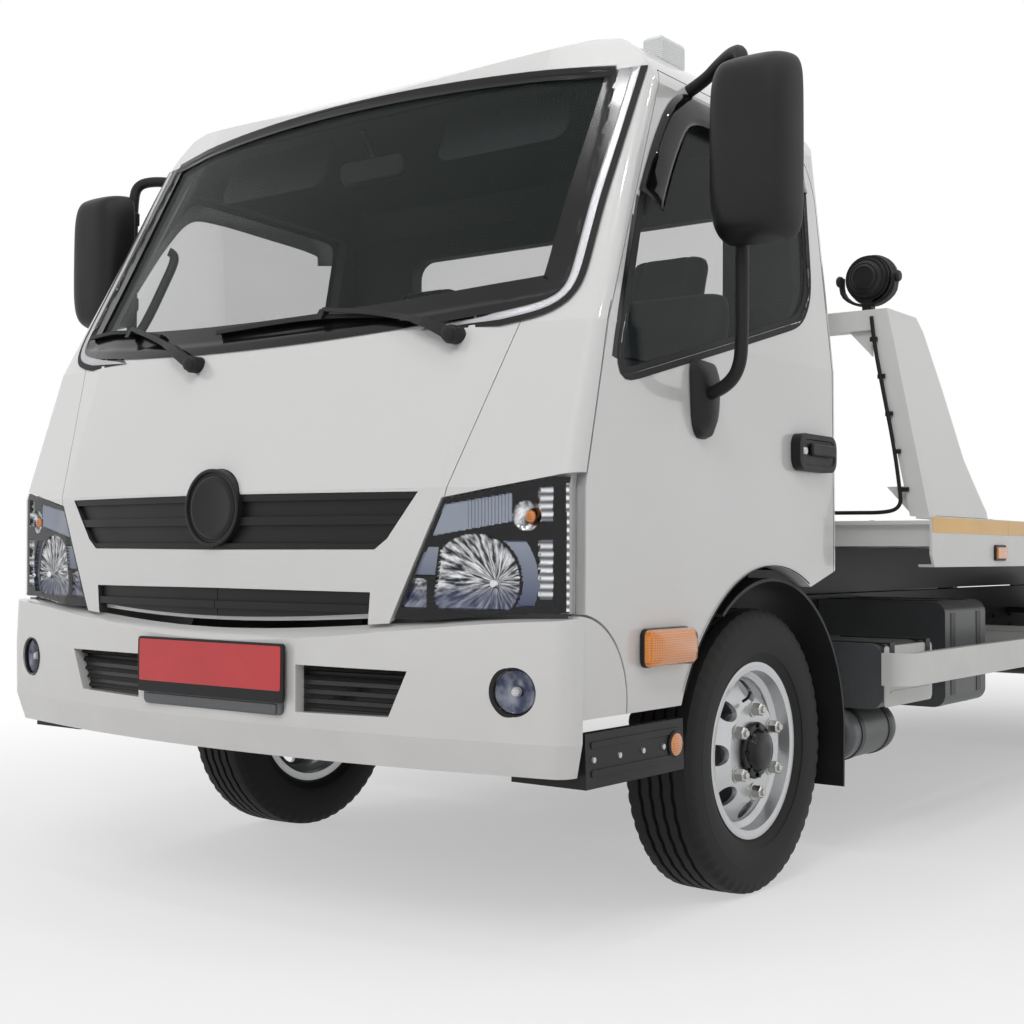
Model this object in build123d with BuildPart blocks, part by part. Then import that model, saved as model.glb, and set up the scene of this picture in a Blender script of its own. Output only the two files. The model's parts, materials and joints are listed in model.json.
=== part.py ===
from build123d import *
import os

os.makedirs("parts", exist_ok=True)

# Light cab-over recovery truck with a tilt-and-slide flatbed, in millimetres.
# +X is the truck's left, the front faces -Y and +Z is up.
# Every piece is drawn about the middle of the front axle's track, at ground level,
# and is moved along Y when it is written out, so that the whole truck is centred.

# Whole vehicle
wheelbase = 3870
front_overhang = 1128
rear_overhang = 2170
centre_shift = -(wheelbase + rear_overhang - front_overhang) / 2
sides = (-1, 1)
fit = 0.3
running_gap = 6

# Wheels and tyres
tyre_radius = 383.5
tyre_half_width = 104
bead_radius = 222.5
front_wheel_x = 827
twin_inner_x = 638
twin_outer_x = 882
hub_radius = 74
stud_circle = 111
hand_hole_circle = 160
hand_hole_radius = 28
hand_holes = 8
wheel_studs = 6
spindle_radius = 30
rear_spindle_radius = 42
kingpin_x = 735
kingpin_radius = 17

# Ladder frame
rail_outer_x = 420
rail_inner_x = 350
rail_bottom = 480
rail_top = 670
rail_wall = 7
rail_front_y = -1010
rail_rear_y = 4960
member_radius = 25

# Cab
wall = 50
skin = 25
cab_rear_y = 395
cab_bottom = 545
belt_z = 1440
plan_bend = 0.69
nose_sag = 58
corner_setback = 136
front_corner_radius = 45
rear_corner_radius = 60
screen_lean = 355 / 700
side_lean = 76 / 700
roof_top = 2247
pivot_y = -967
pivot_z = 564
cab_sweep = 219
bumper_sweep = 208
cheek_sweep = 213
floor_z = 700
seat_base_z = 960
floor_plate = 25
riser_y = -500
tunnel_half = 295
arch_y = -45
arch_z = 395
arch_radius = 487
door_front_y = -935
door_rear_y = 338
door_top = 2115
hinge_heights = (840, 1000)

# Platform
deck_half = 1160
deck_front_y = 640
deck_rear_y = wheelbase + rear_overhang
side_rail_bottom = 878
side_rail_top = 1030
deck_plate = 12
cross_bottom = 940
runner_x = 285
runner_width = 60
runner_bottom = 850
tilt_pivot_y = 4900
tilt_pivot_z = 725
beam_inner_x = 345
beam_outer_x = 415
beam_bottom = 772
beam_front_y = 900
beam_rear_y = 5080
headboard_top = 1663
headboard_lean = 131 / 630
slide_axis_z = 893
lift_x = 200
lift_base = (4600, 510)
lift_eye = (4400, 740)
lift_pin = 18


def save(builder, name):
    piece = builder.part.moved(Location((0, centre_shift, 0)))
    piece.label = name
    export_step(piece, f"parts/{name}.step")


def tube_x(y, z, radius, x_from, x_to, mode=Mode.ADD):
    """A round bar along X between two stations, in the current part."""
    with BuildSketch(Plane.YZ.offset(x_from)) as disc:
        with Locations((y, z)):
            Circle(radius)
    extrude(disc.sketch, amount=x_to - x_from, mode=mode)


def slab(x_from, x_to, y_from, y_to, z_from, z_to, mode=Mode.ADD):
    """A flat block between two stations on each axis, in the current part."""
    with BuildSketch(Plane.XY.offset(z_from)) as base:
        with Locations(((x_from + x_to) / 2, (y_from + y_to) / 2)):
            Rectangle(abs(x_to - x_from), abs(y_to - y_from))
    extrude(base.sketch, amount=z_to - z_from, mode=mode)


def side_prism(points, x_from, x_to, mode=Mode.ADD, grow=0, round_corners=0):
    """A prism along X from an outline of (y, z) points, in the current part."""
    with BuildSketch(Plane.YZ.offset(x_from)) as outline:
        with BuildLine():
            Polyline(*points, close=True)
        make_face()
        if round_corners:
            fillet(outline.vertices(), round_corners)
        if grow:
            offset(amount=grow)
    extrude(outline.sketch, amount=x_to - x_from, mode=mode)


# Cab form: level plan sections, cut by a side outline and a front outline.
# Columns: height, y of the nose at the middle, half width.
cab_levels = [
    (cab_bottom, -1092, 977),
    (760, -1118, 985),
    (1060, -1121, 985),
    (belt_z, -1000, 981),
    (belt_z + 860, -1000 + 860 * screen_lean, 981 - 860 * side_lean),
]


def cab_form(inset):
    """The cab's outside form, moved inward by the inset on every face but the open bottom."""
    with BuildPart() as form:
        for height, nose, half in cab_levels:
            low = 60 if inset and height == cab_bottom else 0
            x = half - inset
            y = nose + inset
            bend = plan_bend * x
            with BuildSketch(Plane.XY.offset(height - low)) as plan:
                with BuildLine():
                    ThreePointArc((-bend, y + nose_sag), (0, y), (bend, y + nose_sag))
                    Polyline(
                        (bend, y + nose_sag),
                        (x, y + corner_setback),
                        (x, cab_rear_y - inset),
                        (-x, cab_rear_y - inset),
                        (-x, y + corner_setback),
                        (-bend, y + nose_sag),
                    )
                make_face()
                corners = plan.vertices().sort_by(Axis.Y)
                fillet(corners[2:4], max(front_corner_radius - inset, 8))
                fillet(plan.vertices().sort_by(Axis.Y)[-2:], max(rear_corner_radius - inset, 12))
        loft(ruled=True)
        top = roof_top - inset
        with BuildSketch(Plane.YZ):
            with BuildLine():
                Polyline((130, top - 7), (130, 200), (-1500, 200), (-1500, 1500), (-660 + inset, 2140))
                ThreePointArc((-660 + inset, 2140), (-555 + inset, 2203 - inset), (-450, 2228 - inset))
                ThreePointArc((-450, 2228 - inset), (-160, top), (130, top - 7))
            make_face()
            with BuildLine():
                Line((130, top - 7), (130, 200))
                Polyline((130, 200), (900, 200), (900, 1500), (402 - inset, 1955))
                ThreePointArc((402 - inset, 1955), (323 - 0.7 * inset, 2163 - 0.7 * inset), (130, top - 7))
            make_face()
        extrude(amount=1200, both=True, mode=Mode.INTERSECT)
        with BuildSketch(Plane.XZ):
            with BuildLine():
                pillar = (925 - inset, 1985)
                cant = (886 - 0.8 * inset, 2128 - 0.6 * inset)
                gutter = (800 - 0.5 * inset, 2208 - inset)
                Polyline(
                    (-pillar[0], pillar[1]), (-1300, 1700), (-1300, 200), (1300, 200), (1300, 1700), pillar
                )
                ThreePointArc(pillar, cant, gutter)
                ThreePointArc(gutter, (0, top + 6), (-gutter[0], gutter[1]))
                ThreePointArc((-gutter[0], gutter[1]), (-cant[0], cant[1]), (-pillar[0], pillar[1]))
            make_face()
        extrude(amount=2000, both=True, mode=Mode.INTERSECT)
    return form.part


outer_form = cab_form(0)
skin_form = cab_form(skin)
firewall_form = cab_form(skin + fit)
inner_form = cab_form(wall)
room_form = cab_form(wall + fit)
clear_form = cab_form(-fit)
glass_outer = cab_form(5)
glass_inner = cab_form(11)

door_outline = [
    (door_front_y, cab_bottom - 40),
    (door_front_y, 1060),
    (-838, belt_z),
    (-490, door_top),
    (door_rear_y, door_top),
    (door_rear_y, cab_bottom - 40),
]
window_outline = [
    (-800, 1312),
    (165, 1566),
    (235, 1650),
    (272, 2035),
    (-425, 2062),
    (-612, 1820),
    (-778, 1420),
]


def door_prism(grow, x_from, x_to, mode):
    with BuildSketch(Plane.YZ.offset(x_from)) as outline:
        with BuildLine():
            Polyline(*door_outline, close=True)
        make_face()
        fillet(outline.vertices().group_by(Axis.X)[-1].sort_by(Axis.Y)[-1:], 200)
        if grow:
            offset(amount=grow)
    extrude(outline.sketch, amount=x_to - x_from, mode=mode)


def screen_prism(grow, mode):
    """The windscreen's opening, as a prism along Y from its front outline."""
    with BuildSketch(Plane.XZ.offset(350)) as outline:
        with BuildLine():
            ThreePointArc((-872, 1507), (0, 1449), (872, 1507))
            Line((872, 1507), (812, 2112))
            ThreePointArc((812, 2112), (0, 2138), (-812, 2112))
            Line((-812, 2112), (-872, 1507))
        make_face()
        fillet(outline.vertices(), 45)
        if grow:
            offset(amount=grow)
    extrude(outline.sketch, amount=1000, mode=mode)


def rear_window_prism(grow, mode):
    with BuildSketch(Plane.XZ.offset(-330)) as outline:
        with Locations((0, 1720)):
            Rectangle(1240, 440)
        fillet(outline.vertices(), 60)
        if grow:
            offset(amount=grow)
    extrude(outline.sketch, amount=-150, mode=mode)


def front_prism(points, grow=0, mode=Mode.ADD, both_sides=True):
    """A prism along Y through the cab's face, from (x, z) points of one half."""
    with BuildSketch(Plane.XZ.offset(700)) as outline:
        with BuildLine():
            Polyline(*points, close=True)
        make_face()
        if grow:
            offset(amount=grow)
        if both_sides:
            mirror(about=Plane.YZ)
    extrude(outline.sketch, amount=700, mode=mode)


def sweep_cut(radius):
    """Takes away all that lies inside the cab's tilting circle."""
    with BuildSketch(Plane.YZ) as disc:
        with Locations((pivot_y, pivot_z)):
            Circle(radius)
    extrude(disc.sketch, amount=1200, both=True, mode=Mode.SUBTRACT)


def below_cut():
    """Takes away the wheel arch and all below the cab's rear edge."""
    with BuildSketch(Plane.YZ) as under:
        with Locations((arch_y, arch_z)):
            Circle(arch_radius)
        with BuildLine():
            Polyline((0, 300), (0, 772), (cab_rear_y + 60, 897), (cab_rear_y + 60, 300), close=True)
        make_face()
    extrude(under.sketch, amount=1200, both=True, mode=Mode.SUBTRACT)


def skin_zone(mode, back):
    """The region ahead of the doors and below the windscreen."""
    with BuildPart(mode=Mode.PRIVATE) as zone:
        side_prism(
            [(-1300, 400), (door_front_y - back, 400), (door_front_y - back, 1060),
             (-838 - back, belt_z), (-800 - back, 1520), (-1300, 1520)],
            -1200, 1200,
        )
        with BuildSketch(Plane.XZ.offset(500)):
            with BuildLine():
                Polyline((-1300, 1530), (-1300, 300), (1300, 300), (1300, 1530))
                ThreePointArc((1300, 1530), (0, 1432), (-1300, 1530))
            make_face()
        extrude(amount=1000, mode=Mode.INTERSECT)
    add(zone.part, mode=mode)


# Cab monocoque: roof, screen pillars, rear wall and firewall in one welded shell,
# with two hinge leaves on the front edge of each door opening
with BuildPart() as cab_body:
    add(outer_form)
    add(inner_form, mode=Mode.SUBTRACT)
    screen_prism(0, Mode.SUBTRACT)
    rear_window_prism(0, Mode.SUBTRACT)
    door_prism(0, -1200, 1200, Mode.SUBTRACT)
    below_cut()
    sweep_cut(cab_sweep)
    with BuildPart(mode=Mode.PRIVATE) as face_zone:
        skin_zone(Mode.ADD, -1)
        add(firewall_form, mode=Mode.SUBTRACT)
    add(face_zone.part, mode=Mode.SUBTRACT)
    for side in sides:
        for z in hinge_heights:
            leaf_end = door_front_y + running_gap / 2 - fit
            slab(side * 938, side * 957, door_front_y - 2, leaf_end, z - 35, z + 35)
save(cab_body, "cab_body")

with BuildPart() as cab_glass:
    with BuildPart(mode=Mode.PRIVATE) as panes:
        screen_prism(-0.5, Mode.ADD)
        rear_window_prism(-0.5, Mode.ADD)
    add(glass_outer)
    add(glass_inner, mode=Mode.SUBTRACT)
    add(panes.part, mode=Mode.INTERSECT)
save(cab_glass, "cab_glass")

# Cab face: lamps, grilles, middle panel and corner panels share one skin over the firewall
lamp_outline = [(684, 1036), (1100, 1110), (1100, 560), (500, 560), (549, 756)]
grille_outline = [(0, 1054), (623, 1052), (540, 945), (505, 920), (0, 918)]
slot_outline = [(0, 824), (494, 822), (474, 600), (0, 600)]
panel_outline = [(0, 500), (690, 500), (690, 1042), (818, 1560), (0, 1560)]
emblem_z = 1022
emblem_radius = 96
shut_gap = 2

with BuildPart() as face_skin:
    add(outer_form)
    add(skin_form, mode=Mode.SUBTRACT)
    skin_zone(Mode.INTERSECT, running_gap / 2)
    sweep_cut(cab_sweep)

with BuildPart() as front_panel:
    add(face_skin.part)
    front_prism(panel_outline, mode=Mode.INTERSECT)
    front_prism(lamp_outline, shut_gap, Mode.SUBTRACT)
    front_prism(grille_outline, 0, Mode.SUBTRACT)
    front_prism(slot_outline, 0, Mode.SUBTRACT)
    with BuildSketch(Plane.XZ.offset(700)):
        with Locations((0, emblem_z)):
            Circle(emblem_radius + 2)
    extrude(amount=700, mode=Mode.SUBTRACT)
save(front_panel, "front_panel")

with BuildPart() as corner_panels:
    add(face_skin.part)
    front_prism(panel_outline, shut_gap, Mode.SUBTRACT)
    front_prism(lamp_outline, shut_gap, Mode.SUBTRACT)
save(corner_panels, "corner_panels")

with BuildPart() as headlamps:
    add(face_skin.part)
    front_prism(lamp_outline, 0, Mode.INTERSECT)
save(headlamps, "headlamps")

with BuildPart() as grille:
    add(cab_form(12))
    add(skin_form, mode=Mode.SUBTRACT)
    skin_zone(Mode.INTERSECT, 20)
    sweep_cut(cab_sweep + 16)
    with BuildPart(mode=Mode.PRIVATE) as openings:
        front_prism(grille_outline, -1)
        front_prism(slot_outline, -1)
    add(openings.part, mode=Mode.INTERSECT)
    with BuildPart(mode=Mode.PRIVATE) as louvres:
        add(cab_form(2))
        add(cab_form(14), mode=Mode.SUBTRACT)
        with BuildSketch(Plane.XZ.offset(700)):
            for low, high, half in [(918, 934, 520), (978, 998, 575), (1036, 1054, 625), (774, 792, 486)]:
                with Locations((0, (low + high) / 2)):
                    Rectangle(2 * half, high - low)
        extrude(amount=700, mode=Mode.INTERSECT)
        add(openings.part, mode=Mode.INTERSECT)
    add(louvres.part)
    with BuildSketch(Plane.XZ.offset(1121 - 24)):
        with Locations((0, emblem_z)):
            Circle(emblem_radius)
    extrude(amount=30)
save(grille, "grille")

# Cab floor with toe board, engine tunnel, seat base and the two tilting arms
with BuildPart() as cab_floor:
    with BuildSketch(Plane.YZ):
        with Locations((pivot_y, pivot_z)):
            Circle(cab_sweep + 1 + floor_plate)
        with BuildLine():
            Polyline(
                (-1200, floor_z),
                (riser_y, floor_z),
                (riser_y, seat_base_z),
                (500, seat_base_z),
                (500, seat_base_z + floor_plate),
                (riser_y - floor_plate, seat_base_z + floor_plate),
                (riser_y - floor_plate, floor_z + floor_plate),
                (-1200, floor_z + floor_plate),
                close=True,
            )
        make_face()
        with BuildLine():
            Polyline((-1400, 200), (-1400, floor_z), (300, floor_z), (300, 200), close=True)
        make_face(mode=Mode.SUBTRACT)
        with Locations((pivot_y, pivot_z)):
            Circle(cab_sweep + 1, mode=Mode.SUBTRACT)
    extrude(amount=926, both=True)
    with BuildSketch(Plane.YZ) as tunnel_space:
        with BuildLine():
            Polyline(
                (-1400, 300),
                (-1400, seat_base_z),
                (riser_y + 1, seat_base_z),
                (riser_y + 1, 300),
                close=True,
            )
        make_face()
    extrude(amount=tunnel_half, both=True, mode=Mode.SUBTRACT)
    with BuildSketch(Plane.YZ.offset(-tunnel_half)):
        with BuildLine():
            Polyline(
                (-1200, seat_base_z),
                (-1200, seat_base_z + floor_plate),
                (riser_y, seat_base_z + floor_plate),
                (riser_y, seat_base_z),
                close=True,
            )
        make_face()
    extrude(amount=2 * tunnel_half)
    for side in sides:
        near = tunnel_half if side > 0 else -tunnel_half - floor_plate
        with BuildSketch(Plane.YZ.offset(near)) as cheek:
            with BuildLine():
                Polyline((-1200, floor_z), (riser_y, floor_z), (riser_y, seat_base_z + floor_plate),
                         (-1200, seat_base_z + floor_plate), close=True)
            make_face()
            with Locations((pivot_y, pivot_z)):
                Circle(cab_sweep + 1, mode=Mode.SUBTRACT)
            with BuildLine():
                Polyline(
                    (pivot_y - 5, pivot_z + 40),
                    (pivot_y + 40, pivot_z - 5),
                    (pivot_y + 200, pivot_z + 140),
                    (pivot_y + 90, pivot_z + 215),
                    close=True,
                )
            make_face()
            with Locations((pivot_y, pivot_z)):
                Circle(40)
                Circle(18 + fit, mode=Mode.SUBTRACT)
        extrude(amount=floor_plate)
    with BuildPart(mode=Mode.PRIVATE) as allowed:
        add(room_form)
        slab(-400, 400, -1010, -600, 500, 800)
    add(allowed.part, mode=Mode.INTERSECT)
    below_cut()
save(cab_floor, "cab_floor")

# Dashboard, steering wheel with its column, and seats
with BuildPart() as dashboard:
    side_prism(
        [(-1200, 1130), (-820, 1130), (-760, 1230), (-735, 1380), (-780, 1425), (-1200, 1425)], -842, 842
    )
    add(room_form, mode=Mode.INTERSECT)
save(dashboard, "dashboard")

wheel_plane = Plane(origin=(470, -560, 1365), x_dir=(1, 0, 0), z_dir=(0, 0.5, 0.866))
with BuildPart() as steering_wheel:
    with BuildSketch(Plane(origin=wheel_plane.origin, x_dir=wheel_plane.x_dir, z_dir=-wheel_plane.y_dir)):
        with Locations((205, 0)):
            Circle(15)
    revolve(axis=Axis(wheel_plane.origin, wheel_plane.z_dir))
    with BuildSketch(wheel_plane.offset(-14)):
        Circle(52)
        with PolarLocations(0, 3, start_angle=90):
            with Locations((100, 0)):
                Rectangle(195, 34)
    extrude(amount=22)
    with BuildSketch(wheel_plane.offset(-14)):
        Circle(34)
    extrude(amount=-700)
    sweep_cut(cab_sweep + 1 + floor_plate + fit)
steering_wheel.part = steering_wheel.part.solids().sort_by(Axis.Z)[-1]
save(steering_wheel, "steering_wheel")

# Columns: middle x, width, height of the back rest.
seat_rows = [(480, 500, 660), (-60, 380, 600), (-480, 420, 660)]
seat_top = seat_base_z + floor_plate + fit
with BuildPart() as seats:
    for middle, width, back_rest in seat_rows:
        with BuildSketch(Plane.YZ.offset(middle - width / 2)) as seat_side:
            with BuildLine():
                Polyline(
                    (-420, seat_top),
                    (100, seat_top),
                    (290, seat_top + back_rest),
                    (200, seat_top + back_rest),
                    (50, seat_top + 150),
                    (-420, seat_top + 140),
                    close=True,
                )
            make_face()
            fillet(seat_side.vertices().sort_by(Axis.Y)[-2:], 35)
        extrude(amount=width)
        with BuildSketch(Plane.YZ.offset(middle - 130)) as head_side:
            with BuildLine():
                Polyline(
                    (215, seat_top + back_rest - 20),
                    (285, seat_top + back_rest - 20),
                    (325, seat_top + back_rest + 160),
                    (240, seat_top + back_rest + 160),
                    close=True,
                )
            make_face()
        extrude(amount=260)
save(seats, "seats")

# Wipers: a pivot, an arm and a blade, on the foot of the windscreen
wiper_foot = [(640, 1418), (-190, 1402)]
with BuildPart() as wipers:
    for x, z in wiper_foot:
        y = -1000 - 0.31 * (belt_z - z) + nose_sag * (x / 680) ** 2
        with BuildSketch(Plane.XZ.offset(-y - 30)):
            with Locations((x, z)):
                Circle(20)
        extrude(amount=58)
        with BuildSketch(Plane.XZ.offset(-y + 18)):
            with BuildLine():
                Polyline(
                    (x - 12, z - 12), (x - 560, z + 36), (x - 560, z + 56), (x + 4, z + 14), close=True
                )
            make_face()
        extrude(amount=10)
    add(clear_form, mode=Mode.SUBTRACT)
save(wipers, "wipers")

with BuildPart() as roof_lamp:
    with BuildSketch(Plane.XY.offset(2150)):
        with Locations((800, -300)):
            Rectangle(60, 110)
    extrude(amount=110)
    add(clear_form, mode=Mode.SUBTRACT)
    fillet(roof_lamp.edges().group_by(Axis.Z)[-1], 18)
save(roof_lamp, "roof_lamp")

# Doors, each as thick as its skin and trim together, with glass and mirror
# The left ones are drawn and the right ones are their mirror images.
handle_y = 184
handle_z = 1195
mirror_y = -560
door_reach = (700, 1100)
with BuildPart() as door:
    add(outer_form)
    add(inner_form, mode=Mode.SUBTRACT)
    door_prism(-running_gap / 2, *door_reach, Mode.INTERSECT)
    side_prism(window_outline, *door_reach, Mode.SUBTRACT, 0, 28)
    below_cut()
    sweep_cut(cab_sweep)
    slab(-1200, 1200, -1300, 500, 300, cab_bottom + 4, Mode.SUBTRACT)
    with BuildSketch(Plane.YZ.offset(980)):
        with Locations((handle_y, handle_z)):
            RectangleRounded(224, 92, 30)
    extrude(amount=30)
    with BuildSketch(Plane.YZ.offset(960)):
        with Locations((-600, 695)):
            RectangleRounded(206, 82, 12)
    extrude(amount=50)

with BuildPart() as door_glass:
    add(glass_outer)
    add(glass_inner, mode=Mode.SUBTRACT)
    side_prism(window_outline, *door_reach, Mode.INTERSECT, -0.5, 28)

with BuildPart() as mirror_arm:
    with BuildSketch(Plane.XY.offset(1640)) as head_low:
        with BuildLine():
            Polyline((1082, mirror_y + 62), (1300, mirror_y + 62), (1292, mirror_y - 20),
                     (1215, mirror_y - 58), (1110, mirror_y - 42), close=True)
        make_face()
        fillet(head_low.vertices(), 14)
    extrude(amount=440)
    with BuildLine() as stay:
        FilletPolyline((986, -430, 1300), (1060, -470, 1310), (1125, mirror_y + 78, 1420),
                       (1125, mirror_y + 78, 2128), (1010, mirror_y + 78, 2128),
                       (903, mirror_y + 100, 2050), radius=45)
    with BuildSketch(Plane(origin=stay.line @ 0, z_dir=stay.line % 0)):
        Circle(17)
    sweep()
    with BuildSketch(Plane.YZ.offset(984)):
        with Locations((-420, 1300)):
            RectangleRounded(110, 150, 20)
    extrude(amount=24)
    add(clear_form, mode=Mode.SUBTRACT)

for drawn, name in ((door, "door"), (door_glass, "door_glass"), (mirror_arm, "mirror")):
    save(drawn, f"{name}_left")
    with BuildPart() as opposite:
        mirror(drawn.part, about=Plane.YZ)
    save(opposite, f"{name}_right")

# Ladder frame: two channel rails joined by round cross members
# Columns: y, z.
cross_members = [(-800, 525), (1180, 640), (1900, 640), (2640, 620), (3330, 610), lift_base, (4920, 575)]
with BuildPart() as frame_ladder:
    with BuildSketch(Plane.XZ.offset(-rail_rear_y)):
        with BuildLine():
            Polyline((rail_inner_x, rail_bottom), (rail_outer_x, rail_bottom), (rail_outer_x, rail_top),
                     (rail_inner_x, rail_top), (rail_inner_x, rail_top - rail_wall),
                     (rail_outer_x - rail_wall, rail_top - rail_wall),
                     (rail_outer_x - rail_wall, rail_bottom + rail_wall),
                     (rail_inner_x, rail_bottom + rail_wall), close=True)
        make_face()
        mirror(about=Plane.YZ)
    extrude(amount=rail_rear_y - rail_front_y)
    for y, z in cross_members:
        tube_x(y, z, member_radius, -rail_outer_x + 2, rail_outer_x - 2)
    for side in sides:
        tube_x(pivot_y, pivot_z, 18, side * (rail_outer_x - 2), side * (tunnel_half - 10))
save(frame_ladder, "frame_ladder")

# Bumper: a hollow shell like the cab's own plan, its top following the cab's tilting circle,
# with a cheek at each end that fills the door's lower front corner inside that circle
# Columns: height, y of the nose at the middle, half width.
bumper_levels = [(425, -1106, 972), (500, -1126, 986), (650, -1128, 988), (800, -1122, 988)]
bumper_wall = 28
bumper_setback = 118
bumper_rear_y = -943
fog_x = 864
fog_z = 611


def bumper_form(inset):
    """The bumper's outside form, moved inward by the inset and open at the back."""
    with BuildPart() as form:
        for row, (height, nose, half) in enumerate(bumper_levels):
            reach = 80 if inset else 0
            lift = {0: -reach, 3: reach}.get(row, 0)
            x = half - inset
            y = nose + inset
            bend = plan_bend * x
            with BuildSketch(Plane.XY.offset(height + lift)) as plan:
                with BuildLine():
                    ThreePointArc((-bend, y + nose_sag), (0, y), (bend, y + nose_sag))
                    Polyline(
                        (bend, y + nose_sag),
                        (x, y + bumper_setback),
                        (x, bumper_rear_y + reach),
                        (-x, bumper_rear_y + reach),
                        (-x, y + bumper_setback),
                        (-bend, y + nose_sag),
                    )
                make_face()
                fillet(plan.vertices().sort_by(Axis.Y)[2:4], max(front_corner_radius - inset, 8))
        loft(ruled=True)
    return form.part


with BuildPart() as bumper:
    add(bumper_form(0))
    add(bumper_form(bumper_wall), mode=Mode.SUBTRACT)
    with BuildSketch(Plane.YZ):
        with BuildLine():
            Polyline((-1400, 590), (-1400, 1000), (-800, 1000), (-800, 590), close=True)
        make_face()
        with Locations((pivot_y, pivot_z)):
            Circle(bumper_sweep, mode=Mode.SUBTRACT)
    extrude(amount=1200, both=True, mode=Mode.SUBTRACT)
    front_prism([(285, 648), (602, 646), (552, 540), (285, 536)], 0, Mode.SUBTRACT)
    with BuildSketch(Plane.XZ.offset(800)):
        with Locations((fog_x, fog_z), (-fog_x, fog_z)):
            Circle(54)
    extrude(amount=500, mode=Mode.SUBTRACT)
    with BuildPart(mode=Mode.PRIVATE) as cheeks:
        add(outer_form)
        add(skin_form, mode=Mode.SUBTRACT)
        tube_x(pivot_y, pivot_z, cheek_sweep, -1200, 1200, Mode.INTERSECT)
        slab(-1200, 1200, bumper_rear_y - 12, 0, cab_bottom + 4, 1000, Mode.INTERSECT)
    add(cheeks.part)
save(bumper, "bumper")

with BuildPart() as fog_lamps:
    add(bumper_form(6))
    add(bumper_form(bumper_wall - 2), mode=Mode.SUBTRACT)
    with BuildSketch(Plane.XZ.offset(800)):
        with Locations((fog_x, fog_z), (-fog_x, fog_z)):
            Circle(54 - fit)
    extrude(amount=500, mode=Mode.INTERSECT)
save(fog_lamps, "fog_lamps")

with BuildPart() as bumper_beam:
    add(bumper_form(bumper_wall + fit))
    slab(-640, 640, -1300, rail_front_y - fit, 530, 620, Mode.INTERSECT)
save(bumper_beam, "bumper_beam")

# Black step panels under the doors, on brackets from the rails
with BuildPart() as steps:
    for side in sides:
        with BuildSketch(Plane.XZ.offset(505)):
            with BuildLine():
                Polyline((side * 984, 397), (side * 980, 519), (side * 958, 519), (side * 958, 424),
                         (side * 780, 424), (side * 780, 397), close=True)
            make_face()
        extrude(amount=420)
        slab(side * (rail_outer_x + fit), side * 800, -760, -690, 400, 420)
        slab(side * (rail_outer_x + fit), side * 450, -760, -690, 400, 610)
save(steps, "steps")

# Mudguards: front arcs with a flap behind each front wheel, rear arcs over the twin wheels
with BuildPart() as mudguards:
    for side in sides:
        with BuildSketch(Plane.YZ.offset(side * 690)):
            with BuildLine():
                arc = CenterArc((0, tyre_radius), 462, 4, 122)
                Line(arc @ 0, (458, 235))
            trace(line_width=9)
        extrude(amount=side * 272)
        tube_x(410, 620, 14, side * (rail_outer_x + fit), side * 760)
        with BuildSketch(Plane.YZ.offset(side * 528)):
            with BuildLine():
                CenterArc((wheelbase, tyre_radius), 438, 18, 144)
            trace(line_width=9)
        extrude(amount=side * 466)
        for reach in (-345, 345):
            tube_x(wheelbase + reach, 652, 14, side * (rail_outer_x + fit), side * 560)
save(mudguards, "mudguards")

# Engine and gearbox as one plain block on its cross mounts
with BuildPart() as engine:
    side_prism(
        [(-520, 490), (-520, 905), (230, 905), (330, 740), (1060, 650), (1060, 470), (300, 450)], -235, 235
    )
    fillet(engine.edges().filter_by(Axis.X), 25)
    for y, z in ((-150, 575), (900, 575)):
        tube_x(y, z, 22, -rail_outer_x + rail_wall + fit, rail_outer_x - rail_wall - fit)
save(engine, "engine")

# Front axle: dropped beam with a kingpin boss at each end
beam_top = 335
with BuildPart() as front_axle:
    with BuildSketch(Plane.XZ.offset(-32)):
        with BuildLine():
            Polyline((-kingpin_x, 350), (-600, 338), (-470, 268), (470, 268), (600, 338), (kingpin_x, 350),
                     (kingpin_x, 417), (580, 405), (450, beam_top), (-450, beam_top), (-580, 405),
                     (-kingpin_x, 417), close=True)
        make_face()
    extrude(amount=64)
    for side in sides:
        with BuildSketch(Plane.XY.offset(330)):
            with Locations((side * kingpin_x, 0)):
                Circle(40)
        extrude(amount=107)
        with BuildSketch(Plane.XY.offset(298)):
            with Locations((side * kingpin_x, 0)):
                Circle(kingpin_radius)
        extrude(amount=171)
save(front_axle, "front_axle")

# Rear axle: banjo housing, spindles, spring seats and the pinion nose
rear_spring_x = 475
rear_spring_z = 478
with BuildPart() as rear_axle:
    with BuildSketch(Plane(origin=(0, wheelbase, tyre_radius), x_dir=(1, 0, 0), z_dir=(0, 0, 1))):
        with BuildLine():
            Polyline(
                (190, 62),
                (565, 62),
                (565, rear_spindle_radius),
                (872, rear_spindle_radius),
                (872, 0),
                (-872, 0),
                (-872, rear_spindle_radius),
                (-565, rear_spindle_radius),
                (-565, 62),
                (-190, 62),
            )
            Polyline((-190, 62), (-110, 160), (-45, 185), (45, 185), (110, 160), (190, 62))
        make_face()
    revolve(axis=Axis((0, wheelbase, tyre_radius), (1, 0, 0)))
    for side in sides:
        seat_x = (side * (rear_spring_x - 30), side * (rear_spring_x + 30))
        slab(*seat_x, wheelbase - 60, wheelbase + 60, 383, rear_spring_z - 25 - fit)
    with BuildSketch(Plane.XZ.offset(-wheelbase + 100)):
        with Locations((0, 400)):
            Circle(58)
    extrude(amount=140)
save(rear_axle, "rear_axle")

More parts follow.
